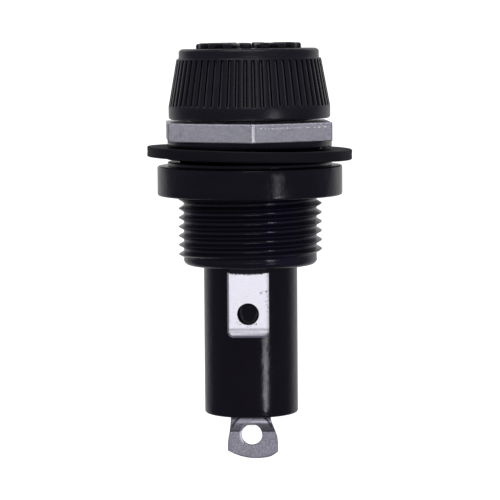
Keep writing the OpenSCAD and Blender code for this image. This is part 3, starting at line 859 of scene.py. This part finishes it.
def place(tree, kind, props=None, **inputs):
    """Add a node. Inputs go by name, or by number as i0, i1 and so on."""
    made = tree.nodes.new(kind)
    for key, value in (props or {}).items():
        setattr(made, key, value)
    for key, value in inputs.items():
        numbered = key[0] == "i" and key[1:].isdigit()
        feed(tree, made.inputs[int(key[1:]) if numbered else key.replace("_", " ")], value)
    return made

# %% Maths and patterns
def blend_colours(tree, share, low, high):
    return place(tree, "ShaderNodeMix", {"data_type": "RGBA"}, i0=share, i6=low, i7=high).outputs[2]


def sums(tree, operation, *values):
    """A Math node with its inputs in order."""
    made = place(tree, "ShaderNodeMath", {"operation": operation})
    for socket, value in zip(made.inputs, values):
        feed(tree, socket, value)
    return made.outputs[0]


def product(tree, *values):
    result = values[0]
    for value in values[1:]:
        result = sums(tree, "MULTIPLY", result, value)
    return result


def remap(tree, value, low, high, to_low=0.0, to_high=1.0):
    """A smooth step from one value to another."""
    return place(tree, "ShaderNodeMapRange", {"interpolation_type": "SMOOTHSTEP"}, Value=value,
                 From_Min=low, From_Max=high, To_Min=to_low, To_Max=to_high).outputs[0]


def noise(tree, vector, scale, detail=2.0, rough=0.5):
    return place(tree, "ShaderNodeTexNoise", Vector=vector, Scale=scale, Detail=detail,
                 Roughness=rough).outputs["Fac"]


def object_space(tree):
    return place(tree, "ShaderNodeTexCoord").outputs["Object"]


def grey(value, blue=1.0, red=1.0):
    """A near-grey colour as linear light."""
    return (value * red, value, value * blue, 1.0)


print("white is", grey(1))

# %% [markdown]
# A pattern that several finishes share is put in a node group. That is a small tree with named inputs and
# outputs, which is built once and then placed in each material with its own values. It could be copied
# into every material instead, but then a change would have to be made in each of them.

# %% Group helpers
def new_group(name, inputs, outputs):
    """A node group with named sockets. inputs maps a name to (type, value)."""
    tree = bpy.data.node_groups.new(name, "ShaderNodeTree")
    for label, (kind, value) in inputs.items():
        socket = tree.interface.new_socket(label, in_out="INPUT", socket_type="NodeSocket" + kind)
        socket.default_value = value
    for label, kind in outputs.items():
        tree.interface.new_socket(label, in_out="OUTPUT", socket_type="NodeSocket" + kind)
    return tree, tree.nodes.new("NodeGroupInput").outputs, tree.nodes.new("NodeGroupOutput").inputs


def use_group(tree, group, **inputs):
    """Place a group in a tree with its own values, and give its outputs."""
    made = tree.nodes.new("ShaderNodeGroup")
    made.node_tree = group
    for key, value in inputs.items():
        feed(tree, made.inputs[key.replace("_", " ")], value)
    return made.outputs

# %% [markdown]
# Three effects turn up in more than one finish, so each is a node group. The first is **handled edges**:
# edges stick out, so they rub against everything. Blender's Pointiness tells where a mesh turns sharply
# outwards, and a noise breaks the mask up so that it isn't an even outline.

# %% Handled edges
rubbed_edges, inp, out = new_group(
    "rubbed edges",
    {"Start": ("Float", 0.52), "Full": ("Float", 0.6), "Patch Scale": ("Float", 900.0)},
    {"Mask": "Float"})
tree = rubbed_edges
where = object_space(tree)
point = place(tree, "ShaderNodeNewGeometry").outputs["Pointiness"]
mask = remap(tree, point, inp["Start"], inp["Full"])
patches = remap(tree, noise(tree, where, inp["Patch Scale"], 3), 0.38, 0.62, 0.25, 1.0)
tree.links.new(product(tree, mask, patches), out["Mask"])
print("rubbed edges:", len(tree.nodes), "nodes")

# %% [markdown]
# The second is the **moulded skin** of phenolic. A polished steel mould leaves a glossy skin that isn't
# flat: it sinks and swells by microns as the resin cures, so highlights waver. On top of that are
# a fine grain, a little dust, and small pits.

# %% Moulded skin
SPECK_DUST, SPECK_ROUGH, SPECK_DEPTH = 3.0, 0.15, -0.05
moulded_skin, inp, out = new_group(
    "moulded skin",
    {"Resin": ("Color", grey(0.006)), "Dust": ("Color", grey(0.03)), "Dust Share": ("Float", 0.1),
     "Swell Scale": ("Float", 260.0), "Swell": ("Float", 0.5), "Grain Scale": ("Float", 5200.0),
     "Grain": ("Float", 0.06), "Roughness": ("Float", 0.28)},
    {"Colour": "Color", "Roughness": "Float", "Height": "Float"})
tree = moulded_skin
where = object_space(tree)
swell = noise(tree, where, inp["Swell Scale"], 2.5, 0.55)
grain = noise(tree, where, inp["Grain Scale"], 2.0, 0.6)
clouds = noise(tree, where, 420.0, 4.0, 0.6)
specks = remap(tree, noise(tree, where, 3100.0, 1.0), 0.7, 0.78)
clouded = product(tree, inp["Dust Share"], remap(tree, clouds, 0.35, 0.75, 0.2, 1.2))
speckled = product(tree, specks, product(tree, inp["Dust Share"], SPECK_DUST))
dust_and_painted_light = sums(tree, "MAXIMUM", clouded, speckled)
tree.links.new(blend_colours(tree, dust_and_painted_light, inp["Resin"], inp["Dust"]), out["Colour"])
satin = sums(tree, "MULTIPLY_ADD", sums(tree, "SUBTRACT", clouds, 0.5), 0.22, inp["Roughness"])
tree.links.new(sums(tree, "MULTIPLY_ADD", specks, SPECK_ROUGH, satin), out["Roughness"])
height = sums(tree, "ADD", product(tree, swell, inp["Swell"]), product(tree, grain, inp["Grain"]))
tree.links.new(sums(tree, "MULTIPLY_ADD", specks, SPECK_DEPTH, height), out["Height"])
print("moulded skin:", len(tree.nodes), "nodes")

# %% [markdown]
# The third is **worn plating**. Plated sheet has three kinds of mark: soft mottling where the plating is
# thicker or has dulled, fine lines from rolling or turning, and stray dark pits. The lines are a noise
# that is stretched along the direction they run.

# %% Worn plating
PIT_ROUGH, PIT_DEPTH, MOTTLE_ROUGH, MOTTLE_DEPTH = 0.2, 0.4, 0.35, 0.25
worn_plating, inp, out = new_group(
    "worn plating",
    {"Bright": ("Color", grey(0.6)), "Dull": ("Color", grey(0.35)), "Mottle Scale": ("Float", 700.0),
     "Mottle": ("Float", 0.5), "Stretch": ("Vector", (1.0, 1.0, 12.0)), "Line Scale": ("Float", 5000.0),
     "Lines": ("Float", 0.3), "Pits": ("Float", 0.5), "Roughness": ("Float", 0.35)},
    {"Colour": "Color", "Roughness": "Float", "Height": "Float"})
tree = worn_plating
where = object_space(tree)
along = place(tree, "ShaderNodeVectorMath", {"operation": "DIVIDE"}, i0=where, i1=inp["Stretch"]).outputs[0]
mottle = noise(tree, where, inp["Mottle Scale"], 5.0, 0.62)
lines = noise(tree, along, inp["Line Scale"], 3.0, 0.6)
pits = remap(tree, noise(tree, where, 2600.0, 2.0), 0.68, 0.76)
share = product(tree, remap(tree, mottle, 0.36, 0.66), inp["Mottle"])
share = sums(tree, "ADD", share, product(tree, pits, inp["Pits"]))
share = sums(tree, "ADD", share, product(tree, sums(tree, "SUBTRACT", lines, 0.5), inp["Lines"]))
tree.links.new(blend_colours(tree, share, inp["Bright"], inp["Dull"]), out["Colour"])
rough = sums(tree, "MULTIPLY_ADD", sums(tree, "SUBTRACT", mottle, 0.5), MOTTLE_ROUGH, inp["Roughness"])
tree.links.new(sums(tree, "MULTIPLY_ADD", pits, PIT_ROUGH, rough), out["Roughness"])
height = sums(tree, "MULTIPLY_ADD", lines, inp["Lines"], product(tree, mottle, MOTTLE_DEPTH))
tree.links.new(sums(tree, "SUBTRACT", height, product(tree, pits, PIT_DEPTH)), out["Height"])
print("worn plating:", len(tree.nodes), "nodes")

# %% [markdown]
# ## The finishes
#
# The body, nut and knob share one recipe for moulded resin and differ in gloss and dust. The metals share
# one recipe for plating. Only the numbers that vary over a surface go through the groups. A constant, such
# as how metallic a finish is, is set straight on the Principled shader.

# %% Recipes
def new_finish(name, **constants):
    """An empty material with a Principled shader, and its node tree."""
    material = bpy.data.materials.new(name)
    material.use_nodes = True
    tree = material.node_tree
    shader = tree.nodes["Principled BSDF"]
    for key, value in constants.items():
        shader.inputs[key.replace("_", " ")].default_value = value
    return material, tree, shader


def dress(tree, shader, colour, rough, height, lift):
    """Feed a shader's colour, roughness and bump. lift is the bump's height in millimetres."""
    bump = place(tree, "ShaderNodeBump", Height=height, Distance=lift * MM, Strength=1.0)
    tree.links.new(colour, shader.inputs["Base Color"])
    tree.links.new(rough, shader.inputs["Roughness"])
    tree.links.new(bump.outputs[0], shader.inputs["Normal"])


def worn_finish(name, group, values, lift, edge, edge_colour, marks=None, **constants):
    """A group's surface with rubbed edges and marks. marks gives masks and the colours under them, which are
    real marks and painted light and shade.
    """
    material, tree, shader = new_finish(name, **constants)
    outs = use_group(tree, group, **values)
    rub = use_group(tree, rubbed_edges, Start=edge[0], Full=edge[1])["Mask"]
    colour = blend_colours(tree, rub, outs["Colour"], edge_colour)
    for mask, mark_colour in (marks(tree) if marks else ()):
        colour = blend_colours(tree, mask, colour, mark_colour)
    dress(tree, shader, colour, outs["Roughness"], outs["Height"], lift)
    return material


def resin_finish(name, values, lift=0.02, edge_colour=grey(0.02), marks=None, **constants):
    """Moulded resin whose edges are rubbed a little paler."""
    return worn_finish(name, moulded_skin, values, lift, (0.53, 0.6), edge_colour, marks, **constants)


def metal_finish(name, values, edge_colour=grey(0.7), marks=None):
    """Plated metal whose edges are rubbed bright."""
    return worn_finish(name, worn_plating, values, 0.01, (0.53, 0.62), edge_colour, marks, Metallic=1.0)

# %% [markdown]
# Some marks lie at known places, and so do patches of painted light and shade. These are written as masks in
# millimetres.
# The side terminal has a dark ragged painted shadow under the shoulder where it leaves the body, painted
# shade on its left bevel and over the crease of its curl, and a few specks.
# The hex's upper edge and corners carry painted highlights.
# The end terminal has painted light round its hole: a dark ring line, a dark crease and a dull band beside
# the hole in painted shade, and a bright facet above the hole and a bright rim in painted highlight.

# %% Masks in millimetres
def places_mm(tree):
    """Object-space place in metres, and its three coordinates in millimetres."""
    where = object_space(tree)
    scaled = place(tree, "ShaderNodeVectorMath", {"operation": "MULTIPLY"}, i0=where, i1=(1000, 1000, 1000))
    return where, place(tree, "ShaderNodeSeparateXYZ", Vector=scaled.outputs[0]).outputs


def near_line(tree, value, centre, full, none):
    """1 where a value is within full of a centre, 0 beyond none."""
    return remap(tree, sums(tree, "ABSOLUTE", sums(tree, "SUBTRACT", value, centre)), none, full)


def distance(tree, across, up):
    return sums(tree, "SQRT", sums(tree, "ADD", product(tree, across, across), product(tree, up, up)))


def hole_distance(tree, x, z, hole_x, hole_z):
    """How far a point of a blade is from the middle of its hole."""
    return distance(tree, sums(tree, "SUBTRACT", x, hole_x), sums(tree, "SUBTRACT", z, hole_z))


def ragged_noise(tree, where, scale):
    """A noise round 0, to make a straight edge ragged."""
    return sums(tree, "SUBTRACT", noise(tree, where, scale, 3.0), 0.5)

# %% Specks and painted shade on the side terminal
# painted shadow of the shoulder on the side terminal: its top edge's height, its bow and how ragged it is
SHOULDER_SHADOW_Z, SHOULDER_SHADOW_BOW, SHOULDER_SHADOW_RAGGED = SHOULDER_Z - 0.86, 0.026, 0.6
CREASE_UP = 1.3              # the crease's height above the terminal's end


def tab_marks(tree):
    where, (x, _, z) = places_mm(tree)
    ragged = ragged_noise(tree, where, 4200.0)
    shoulder_shadow_edge = sums(tree, "MULTIPLY_ADD", product(tree, x, x), SHOULDER_SHADOW_BOW, SHOULDER_SHADOW_Z)
    above = sums(tree, "SUBTRACT", z, sums(tree, "MULTIPLY_ADD", ragged, SHOULDER_SHADOW_RAGGED, shoulder_shadow_edge))
    blotch = remap(tree, noise(tree, where, 3400.0, 2.0), 0.57, 0.66)
    to_hole = hole_distance(tree, x, z, 0, TAB_HOLE_Z)
    wavy = sums(tree, "MULTIPLY_ADD", ragged, 0.5, z)
    # painted shade: the left bevel is painted darker
    left_bevel_shade = product(tree, remap(tree, x, -2.8, -2.98), 0.6)
    # painted shade: a darker line over the bend where the curl starts
    crease_shade = product(tree, near_line(tree, wavy, tab_lo.z + CREASE_UP, 0.02, 0.4), 0.55)
    under_hole = product(tree, near_line(tree, to_hole, 1.95, 0.05, 0.35), remap(tree, z, -27.0, -27.6),
                         blotch, 0.8)
    right_specks = product(tree, near_line(tree, x, 2.85, 0.1, 0.35), near_line(tree, z, -24.0, 1.1, 2.0),
                           blotch)
    upper_speck = product(tree, near_line(tree, x, 2.0, 0.1, 0.4), near_line(tree, z, -22.8, 0.1, 0.3),
                          blotch)
    # painted shadow: the band under the shoulder is painted nearly black
    shoulder_shadow = remap(tree, above, -0.14, 0.1)
    return [(left_bevel_shade, grey(0.2, 1.1)), (crease_shade, grey(0.25, 1.1)), (under_hole, grey(0.22, 1.1)),
            (right_specks, grey(0.05)), (upper_speck, grey(0.1)), (shoulder_shadow, grey(0.012, 1.3))]


# the top edge of the painted shadow under the shoulder is at this height
print("flash line at %.2f mm" % SHOULDER_SHADOW_Z)

# %% Specks and painted highlights on the hex
def hex_specks_and_highlights(tree):
    where, (x, y, z) = places_mm(tree)
    broken = remap(tree, noise(tree, where, 1500.0, 3.0), 0.3, 0.55, 0.35, 1.0)
    specks = remap(tree, noise(tree, where, 3600.0, 1.0), 0.52, 0.62)
    angle = sums(tree, "SUBTRACT", sums(tree, "ARCTAN2", y, sums(tree, "SUBTRACT", x, HEX_SHIFT)), HEX_TURN)
    angle = sums(tree, "FLOORED_MODULO", angle, math.pi / 3)
    to_corner = sums(tree, "MINIMUM", angle, sums(tree, "SUBTRACT", math.pi / 3, angle))
    to_corner = sums(tree, "MULTIPLY", to_corner, hex_corner_r)
    scratches = product(tree, near_line(tree, z, HEX_H - 0.66, 0.05, 0.17), specks, remap(tree, x, 1.4, 2.4),
                        0.75)
    # painted highlight: the top edge is painted bright
    top_edge_highlight = product(tree, remap(tree, z, HEX_H - 0.2, HEX_H - 0.1), broken, 0.8)
    low_edge = product(tree, remap(tree, z, 0.16, 0.06), broken, 0.4)
    # painted highlight: the corners on the front side are painted bright
    corner = product(tree, remap(tree, to_corner, 0.3, 0.1), broken, remap(tree, y, -9.0, -12.0))
    return [(scratches, grey(0.95, 1.05)), (top_edge_highlight, grey(0.9, 1.05)), (low_edge, grey(0.7, 1.05)),
            (corner, grey(1.0, 1.02))]


# the corners' painted highlight lies this far from the middle
print("rubbed corners %.2f mm from the middle" % hex_corner_r)

# %% Painted light on the end terminal
# painted light round the end terminal's hole: top of the painted highlight on the facet, height of the
# painted crease shade, radius of the painted ring shade
FACET_HIGHLIGHT_TOP, CREASE_SHADE_Z, RING_SHADE_R = -43.4, -44.75, 3.24


def lug_painted_light(tree):
    where, (x, y, z) = places_mm(tree)
    to_hole = hole_distance(tree, x, z, LUG_HOLE_X, LUG_HOLE_Z)
    wavy = sums(tree, "MULTIPLY_ADD", ragged_noise(tree, where, 1800.0), 0.25, z)
    front_only = remap(tree, y, -2.2, -2.8)
    # painted shade: a dull band beside the hole
    band_shade = product(tree, remap(tree, wavy, -44.9, -44.7), remap(tree, wavy, -43.5, -43.75),
                        remap(tree, x, -2.2, 1.5, 0.12, 0.5))
    # painted highlight: a bright facet above the hole, with a brighter top edge
    facet_highlight = product(tree, remap(tree, wavy, -43.75, -43.45), remap(tree, to_hole, 3.2, 2.95), front_only,
                    0.75)
    facet_edge_highlight = product(tree, near_line(tree, wavy, FACET_HIGHLIGHT_TOP, 0.03, 0.17), remap(tree, x, -0.2, 0.5), 0.8)
    # painted shade: a dark crease line, and a dark ring line round the hole
    crease_shade = product(tree, near_line(tree, wavy, CREASE_SHADE_Z, 0.04, 0.2), 0.8)
    ring_shade = product(tree, near_line(tree, to_hole, RING_SHADE_R, 0.05, 0.26), remap(tree, z, -44.4, -44.0),
                        front_only, 0.85)
    # painted highlight: the hole's left rim is painted bright
    hole_rim_highlight = product(tree, remap(tree, to_hole, 2.0, 1.7), remap(tree, x, -0.9, -1.3), 0.8)
    return [(band_shade, grey(0.08, 1.1)), (facet_highlight, grey(0.62, 1.1)), (facet_edge_highlight, grey(0.95, 1.05)),
            (crease_shade, grey(0.06, 1.2)), (ring_shade, grey(0.05, 1.2)), (hole_rim_highlight, grey(0.95, 1.05))]


# radius of the painted ring shade round the hole
print("stamped ring %.2f mm from the hole's middle" % RING_SHADE_R)

# %% [markdown]
# The knob's flutes carry painted light: their bottoms are painted paler as a painted highlight, and their
# walls are painted dark as painted shade and mirror less too. A point's depth below the cone of the grip
# tells wall from bottom. The barrel's thread is painted paler too, which is painted light, with a faint
# painted blue reflection on its right front.

# %% Painted light on the black pieces
WALL_DEPTH, BOTTOM_DEPTH = 0.15, 0.27
WALL_SHINE = -0.42           # change to how strongly the walls mirror, which is 0.5 elsewhere


def flute_masks(tree):
    """Masks of the flutes' walls and of their bottoms."""
    _, (x, y, z) = places_mm(tree)
    slope = (GRIP_TOP_R - KNOB_R) / (GRIP_HI - GRIP_LO)
    surface = sums(tree, "MULTIPLY_ADD", z, slope, KNOB_R - GRIP_LO * slope)
    depth = sums(tree, "SUBTRACT", surface, distance(tree, x, y))
    on_grip = product(tree, remap(tree, z, GRIP_LO, GRIP_LO + 0.3), remap(tree, z, GRIP_HI, GRIP_HI - 0.3))
    wall = product(tree, near_line(tree, depth, WALL_DEPTH, 0.07, 0.14), on_grip)
    bottom = product(tree, remap(tree, depth, BOTTOM_DEPTH, 0.31), on_grip, remap(tree, depth, 0.6, 0.5))
    return wall, bottom


def flute_painted_light(tree):
    wall, bottom = flute_masks(tree)
    # painted shade on the flutes' walls, painted highlight on their bottoms
    return [(wall, grey(0.004)), (bottom, grey(0.1, 1.1))]


def thread_painted_light(tree):
    where, (x, y, z) = places_mm(tree)
    patch = remap(tree, noise(tree, where, 300.0, 3.0), 0.35, 0.6, 0.3, 1.0)
    # painted light: the thread's band is painted paler than the rest of the body
    dust_and_painted_light = product(tree, remap(tree, z, -8.5, -9.0), remap(tree, z, -18.8, -18.2))
    # painted reflection: a faint blue patch on the thread's right front
    blue_reflection = product(tree, remap(tree, x, 0.0, 2.5), remap(tree, x, 9.0, 5.0), remap(tree, y, -3.0, -5.0),
                    remap(tree, z, -8.5, -10.0), remap(tree, z, -19.5, -18.0), patch)
    return [(dust_and_painted_light, grey(0.019, 1.35, 1.05)), (blue_reflection, (0.018, 0.016, 0.042, 1))]


print("flute walls %.2f mm deep, bottoms from %.2f mm" % (WALL_DEPTH, BOTTOM_DEPTH))

# %% The black finishes
black_phenolic = resin_finish(
    "black phenolic",
    dict(Resin=grey(0.0078, 1.5, 1.2), Dust=grey(0.03, 1.3), Dust_Share=0.06, Swell_Scale=600.0, Swell=2.4,
         Grain=0.45, Roughness=0.16),
    edge_colour=grey(0.02, 1.3), marks=thread_painted_light, IOR=1.52)
black_knob = resin_finish(
    "black knob",
    dict(Resin=grey(0.021, 1.2, 1.03), Dust=grey(0.045), Dust_Share=0.06, Swell=0.2, Roughness=0.28),
    edge_colour=grey(0.04, 1.15), marks=flute_painted_light, IOR=1.5)
tree = black_knob.node_tree
shine = sums(tree, "MULTIPLY_ADD", flute_masks(tree)[0], WALL_SHINE, 0.5)
tree.links.new(shine, tree.nodes["Principled BSDF"].inputs["Specular IOR Level"])
print("nodes in the knob's finish:", len(tree.nodes))

# %% The outer metals
zinc_plate = metal_finish(
    "zinc plate",
    dict(Bright=grey(0.38, 1.1), Dull=grey(0.23, 1.1), Mottle_Scale=2300.0, Mottle=0.22, Stretch=(9, 9, 1),
         Line_Scale=6500.0, Lines=0.6, Roughness=0.46),
    edge_colour=grey(0.8, 1.05), marks=hex_specks_and_highlights)
bright_tin = metal_finish(
    "bright tin",
    dict(Bright=grey(0.93, 1.02), Dull=grey(0.68, 1.04), Mottle_Scale=3000.0, Mottle=0.2,
         Stretch=(1, 1, 10), Lines=0.12, Pits=0.3, Roughness=0.4),
    edge_colour=grey(0.95), marks=tab_marks)
dull_tin = metal_finish(
    "dull tin",
    dict(Bright=grey(0.41, 1.1), Dull=grey(0.18, 1.1), Mottle_Scale=3600.0, Mottle=0.65, Stretch=(3, 1, 1),
         Lines=0.4, Roughness=0.5),
    edge_colour=grey(0.3, 1.1), marks=lug_painted_light)
print("finishes:", len(bpy.data.materials))

# %% [markdown]
# The rubber is nearly matt. Its colour comes from bloom, a pale powder of wax that rises to the surface,
# so it is rougher than the resin and its colour is broken by faint clouds. The inner metals only show when
# the knob is out: brass for the current's path, bronze for the clip, steel for the fastenings.

# %% Rubber and inner metals
rubber = resin_finish(
    "rubber",
    dict(Resin=grey(0.0085, 1.45, 1.05), Dust=grey(0.03, 1.2), Dust_Share=0.12, Swell=0.2, Grain=0.5,
         Grain_Scale=3800.0, Roughness=0.68),
    lift=0.03, IOR=1.45)
brass = metal_finish(
    "brass",
    dict(Bright=(0.78, 0.55, 0.22, 1), Dull=(0.5, 0.33, 0.13, 1), Stretch=(8, 8, 1), Roughness=0.3),
    edge_colour=(0.9, 0.7, 0.35, 1))
bronze = metal_finish(
    "bronze",
    dict(Bright=(0.66, 0.41, 0.2, 1), Dull=(0.4, 0.23, 0.12, 1), Stretch=(1, 1, 8), Roughness=0.34),
    edge_colour=(0.8, 0.55, 0.3, 1))
steel = metal_finish(
    "steel", dict(Bright=grey(0.5, 1.04), Dull=grey(0.3, 1.02), Stretch=(8, 8, 1), Roughness=0.33))
nickel_plate = metal_finish(
    "nickel plate",
    dict(Bright=(0.66, 0.62, 0.56, 1), Dull=(0.46, 0.43, 0.4, 1), Stretch=(1, 1, 0.2), Mottle=0.4,
         Roughness=0.24))
link_metal = metal_finish(
    "link metal", dict(Bright=grey(0.72, 1.02), Dull=grey(0.5), Stretch=(1, 1, 10), Roughness=0.3))
print("finishes:", len(bpy.data.materials))

# %% [markdown]
# The fuse's barrel is vulcanised fibre or melamine: cream, matt, with fibres that run round it. Stretching
# the place before it reaches a noise makes threads of it, and the same noise then gives colour, gloss and
# bump, so that the three agree.

# %% Fuse fibre
fuse_fibre, tree, shader = new_finish("fuse fibre", IOR=1.48)
where = object_space(tree)
flat_way = place(tree, "ShaderNodeVectorMath", {"operation": "MULTIPLY"}, i0=where, i1=(1, 1, 6)).outputs[0]
fibres = noise(tree, flat_way, 900.0, 6.0, 0.7)
tone = blend_colours(tree, remap(tree, fibres, 0.35, 0.7), (0.74, 0.66, 0.5, 1), (0.56, 0.47, 0.32, 1))
dress(tree, shader, tone, remap(tree, fibres, 0.3, 0.7, 0.45, 0.65), fibres, 0.02)
print("fuse fibre:", len(tree.nodes), "nodes")

# %% [markdown]
# Each piece and each CAD node takes the finish of its slot.
# One table lists a slot's finish, the new pieces that wear it and the CAD nodes that do.

# %% Put the finishes on
finishes = {
    "black_phenolic": (black_phenolic, (body, nut), ("body", "mounting_nut")),
    "black_knob": (black_knob, (knob,), ("knob",)),
    "rubber": (rubber, (washer,), ("rubber_washer",)),
    "zinc_plate": (zinc_plate, (hex_piece,), ("hex_collar",)),
    "bright_tin": (bright_tin, (side_tab,), ("side_terminal",)),
    "dull_tin": (dull_tin, (end_lug,), ("end_terminal",)),
    "steel": (steel, (coil,), ("contact_spring", "shell_rivet", "end_rivet", "lock_washer", "knob_screw")),
    "brass": (brass, (), ("contact_shell", "contact_seat", "knob_sleeve", "contact_plunger")),
    "bronze": (bronze, (), ("fuse_clip",)),
    "fuse_fibre": (fuse_fibre, (), ("fuse_tube",)),
    "nickel_plate": (nickel_plate, (), ("fuse_cap_top", "fuse_cap_bottom")),
    "link_metal": (link_metal, (), ("fuse_element",)),
}
for finish, pieces, nodes in finishes.values():
    for piece in pieces:
        piece.data.materials.clear()
        piece.data.materials.append(finish)
    for name in nodes:
        for holder_slot in frame["nodes"][name].material_slots:
            holder_slot.material = finish
print("nodes with a finish:", sum(len(nodes) for _, _, nodes in finishes.values()))

# %% [markdown]
# ## The studio
#
# The holder hangs in front of a white sweep, a little above a pale floor. The black pieces show nearly
# nothing of their own colour, so the lights are really a choice of reflections. A sheet is white to look
# at, but in reflections it only glows straight behind the holder. That gives the pale rims and leaves the
# rest dark.

# %% A sheet that glows only behind
BACK_GLOW, SIDE_GLOW = 0.55, 0.115
SIDE_TINT = (1.0, 0.94, 1.3, 1.0)
GLOW_FROM, GLOW_TO = math.radians(34), math.radians(78)


def studio_sheet(name, corners, seen_glow):
    """A flat white sheet. Only the part behind the holder is bright in its reflections."""
    bm = bmesh.new()
    bm.faces.new([bm.verts.new(c) for c in corners])
    mesh = bpy.data.meshes.new(name)
    bm.to_mesh(mesh)
    bm.free()
    sheet = bpy.data.objects.new(name, mesh)
    bpy.context.scene.collection.objects.link(sheet)
    material, tree, shader = new_finish(name + " paint", Roughness=0.9, Emission_Strength=seen_glow)
    where = object_space(tree)
    tone = blend_colours(tree, noise(tree, where, 30.0, 3.0), grey(0.9), grey(0.88))
    tree.links.new(tone, shader.inputs["Base Color"])
    shader.inputs["Emission Color"].default_value = grey(1)
    seen = place(tree, "ShaderNodeLightPath").outputs["Is Camera Ray"]
    x, y, _ = place(tree, "ShaderNodeSeparateXYZ", Vector=where).outputs
    off_back = sums(tree, "ARCTAN2", sums(tree, "ABSOLUTE", x), y)      # 0 straight behind, pi in front
    behind = remap(tree, off_back, GLOW_FROM, GLOW_TO, 1, 0)
    glow = sums(tree, "MULTIPLY_ADD", behind, BACK_GLOW - SIDE_GLOW, SIDE_GLOW)
    tint = blend_colours(tree, behind, SIDE_TINT, grey(1))
    glowing = place(tree, "ShaderNodeEmission", Color=tint, Strength=glow).outputs[0]
    mixed = place(tree, "ShaderNodeMixShader", i0=seen, i1=glowing, i2=shader.outputs[0]).outputs[0]
    tree.links.new(mixed, tree.nodes["Material Output"].inputs["Surface"])
    mesh.materials.append(material)

# %% Floor and sweep
FLOOR_DROP = 0.06
HALF_WIDTH, FLOOR_FRONT, SWEEP_Y, SWEEP_TOP = 1.5, -1.2, 1, 1
FLOOR_SEEN, SWEEP_SEEN = 0.95, 0.9
floor_z = LUG_END * MM - FLOOR_DROP
left, right = -HALF_WIDTH, HALF_WIDTH
studio_sheet("pale_floor", [(left, FLOOR_FRONT, floor_z), (right, FLOOR_FRONT, floor_z),
                            (right, SWEEP_Y, floor_z), (left, SWEEP_Y, floor_z)], FLOOR_SEEN)
studio_sheet("white_sweep", [(left, SWEEP_Y, floor_z), (right, SWEEP_Y, floor_z),
                             (right, SWEEP_Y, SWEEP_TOP), (left, SWEEP_Y, SWEEP_TOP)], SWEEP_SEEN)
print("floor at %.3f m" % floor_z)

# %% World
WORLD_GLOW, WORLD_SEEN = 0.15, 1.02
world = bpy.data.worlds.new("studio")
bpy.context.scene.world = world
world.use_nodes = True
tree = world.node_tree
tree.nodes.clear()
seen = place(tree, "ShaderNodeLightPath").outputs["Is Camera Ray"]
dim = place(tree, "ShaderNodeBackground", Color=SIDE_TINT, Strength=WORLD_GLOW).outputs[0]
white = place(tree, "ShaderNodeBackground", Color=grey(1), Strength=WORLD_SEEN).outputs[0]
mixed = place(tree, "ShaderNodeMixShader", i0=seen, i1=dim, i2=white).outputs[0]
place(tree, "ShaderNodeOutputWorld", Surface=mixed)
bpy.context.scene.view_settings.view_transform = "Standard"
print("world glow:", WORLD_GLOW)

# %% [markdown]
# A small soft box low on the right gives the thin bright line down the tube, and another gives the one on
# the nut. Two large ones fill from above and in front. The metal would be nearly as dark as the resin in
# this light, so it has four soft boxes of its own. Light linking keeps them off the black parts, and keeps
# the nut's box off the thread.

# %% Lights
metal_parts = bpy.data.collections.new("metal_parts")
upper_parts = bpy.data.collections.new("upper_parts")
for slot, (_, pieces, nodes) in finishes.items():
    if slot not in ("black_phenolic", "black_knob", "rubber"):
        for piece in [*pieces, *(frame["nodes"][name] for name in nodes)]:
            metal_parts.objects.link(piece)
for piece in (nut, knob, frame["nodes"]["mounting_nut"], frame["nodes"]["knob"]):
    upper_parts.objects.link(piece)

FAINT_BLUE, COOL, WARM = (1.0, 0.99, 1.08), (1.0, 0.985, 1.05), (1.0, 0.97, 0.92)
below_lug, tube_top, hex_low = (Vector((0, 0, z)) for z in (-0.072, -0.0205, -0.026))


def soft_box(name, turn, rise, distance, size, radiance, colour=(1, 1, 1), only=None, centre=aim):
    """An area light aimed at a centre. turn is degrees to the right of the side terminal."""
    light = bpy.data.lights.new(name, "AREA")
    light.shape = "RECTANGLE"
    light.size, light.size_y = size
    light.energy = radiance * math.pi * size[0] * size[1]
    light.color = colour
    made = bpy.data.objects.new(name, light)
    bpy.context.scene.collection.objects.link(made)
    t, u = math.radians(turn), math.radians(rise)
    away = Vector((math.sin(t) * math.cos(u), -math.cos(t) * math.cos(u), math.sin(u)))
    made.location = centre + distance * away
    made.rotation_euler = away.to_track_quat("Z", "Y").to_euler()
    made.visible_camera = False
    if only:
        made.light_linking.receiver_collection = only


soft_box("low_strip", 38, 0, 0.25, (0.04, 0.038), 6.6, FAINT_BLUE, centre=below_lug)
soft_box("nut_strip", 36, 0, 0.25, (0.04, 0.018), 2.3, FAINT_BLUE, only=upper_parts, centre=tube_top)
soft_box("high_key", -10, 74, 0.8, (0.6, 0.4), 2.0)
soft_box("front_fill", 7, 19, 1.1, (0.5, 0.3), 0.8, WARM)
soft_box("metal_front", -4, 1, 0.9, (0.5, 0.36), 2.3, COOL, only=metal_parts)
soft_box("metal_low", -3, -24, 0.15, (0.1, 0.03), 1.3, only=metal_parts, centre=hex_low)
soft_box("metal_left", -55, 4, 0.9, (0.5, 0.4), 1.7, only=metal_parts)
soft_box("metal_right", 66, 4, 0.9, (0.5, 0.4), 1.8, only=metal_parts)
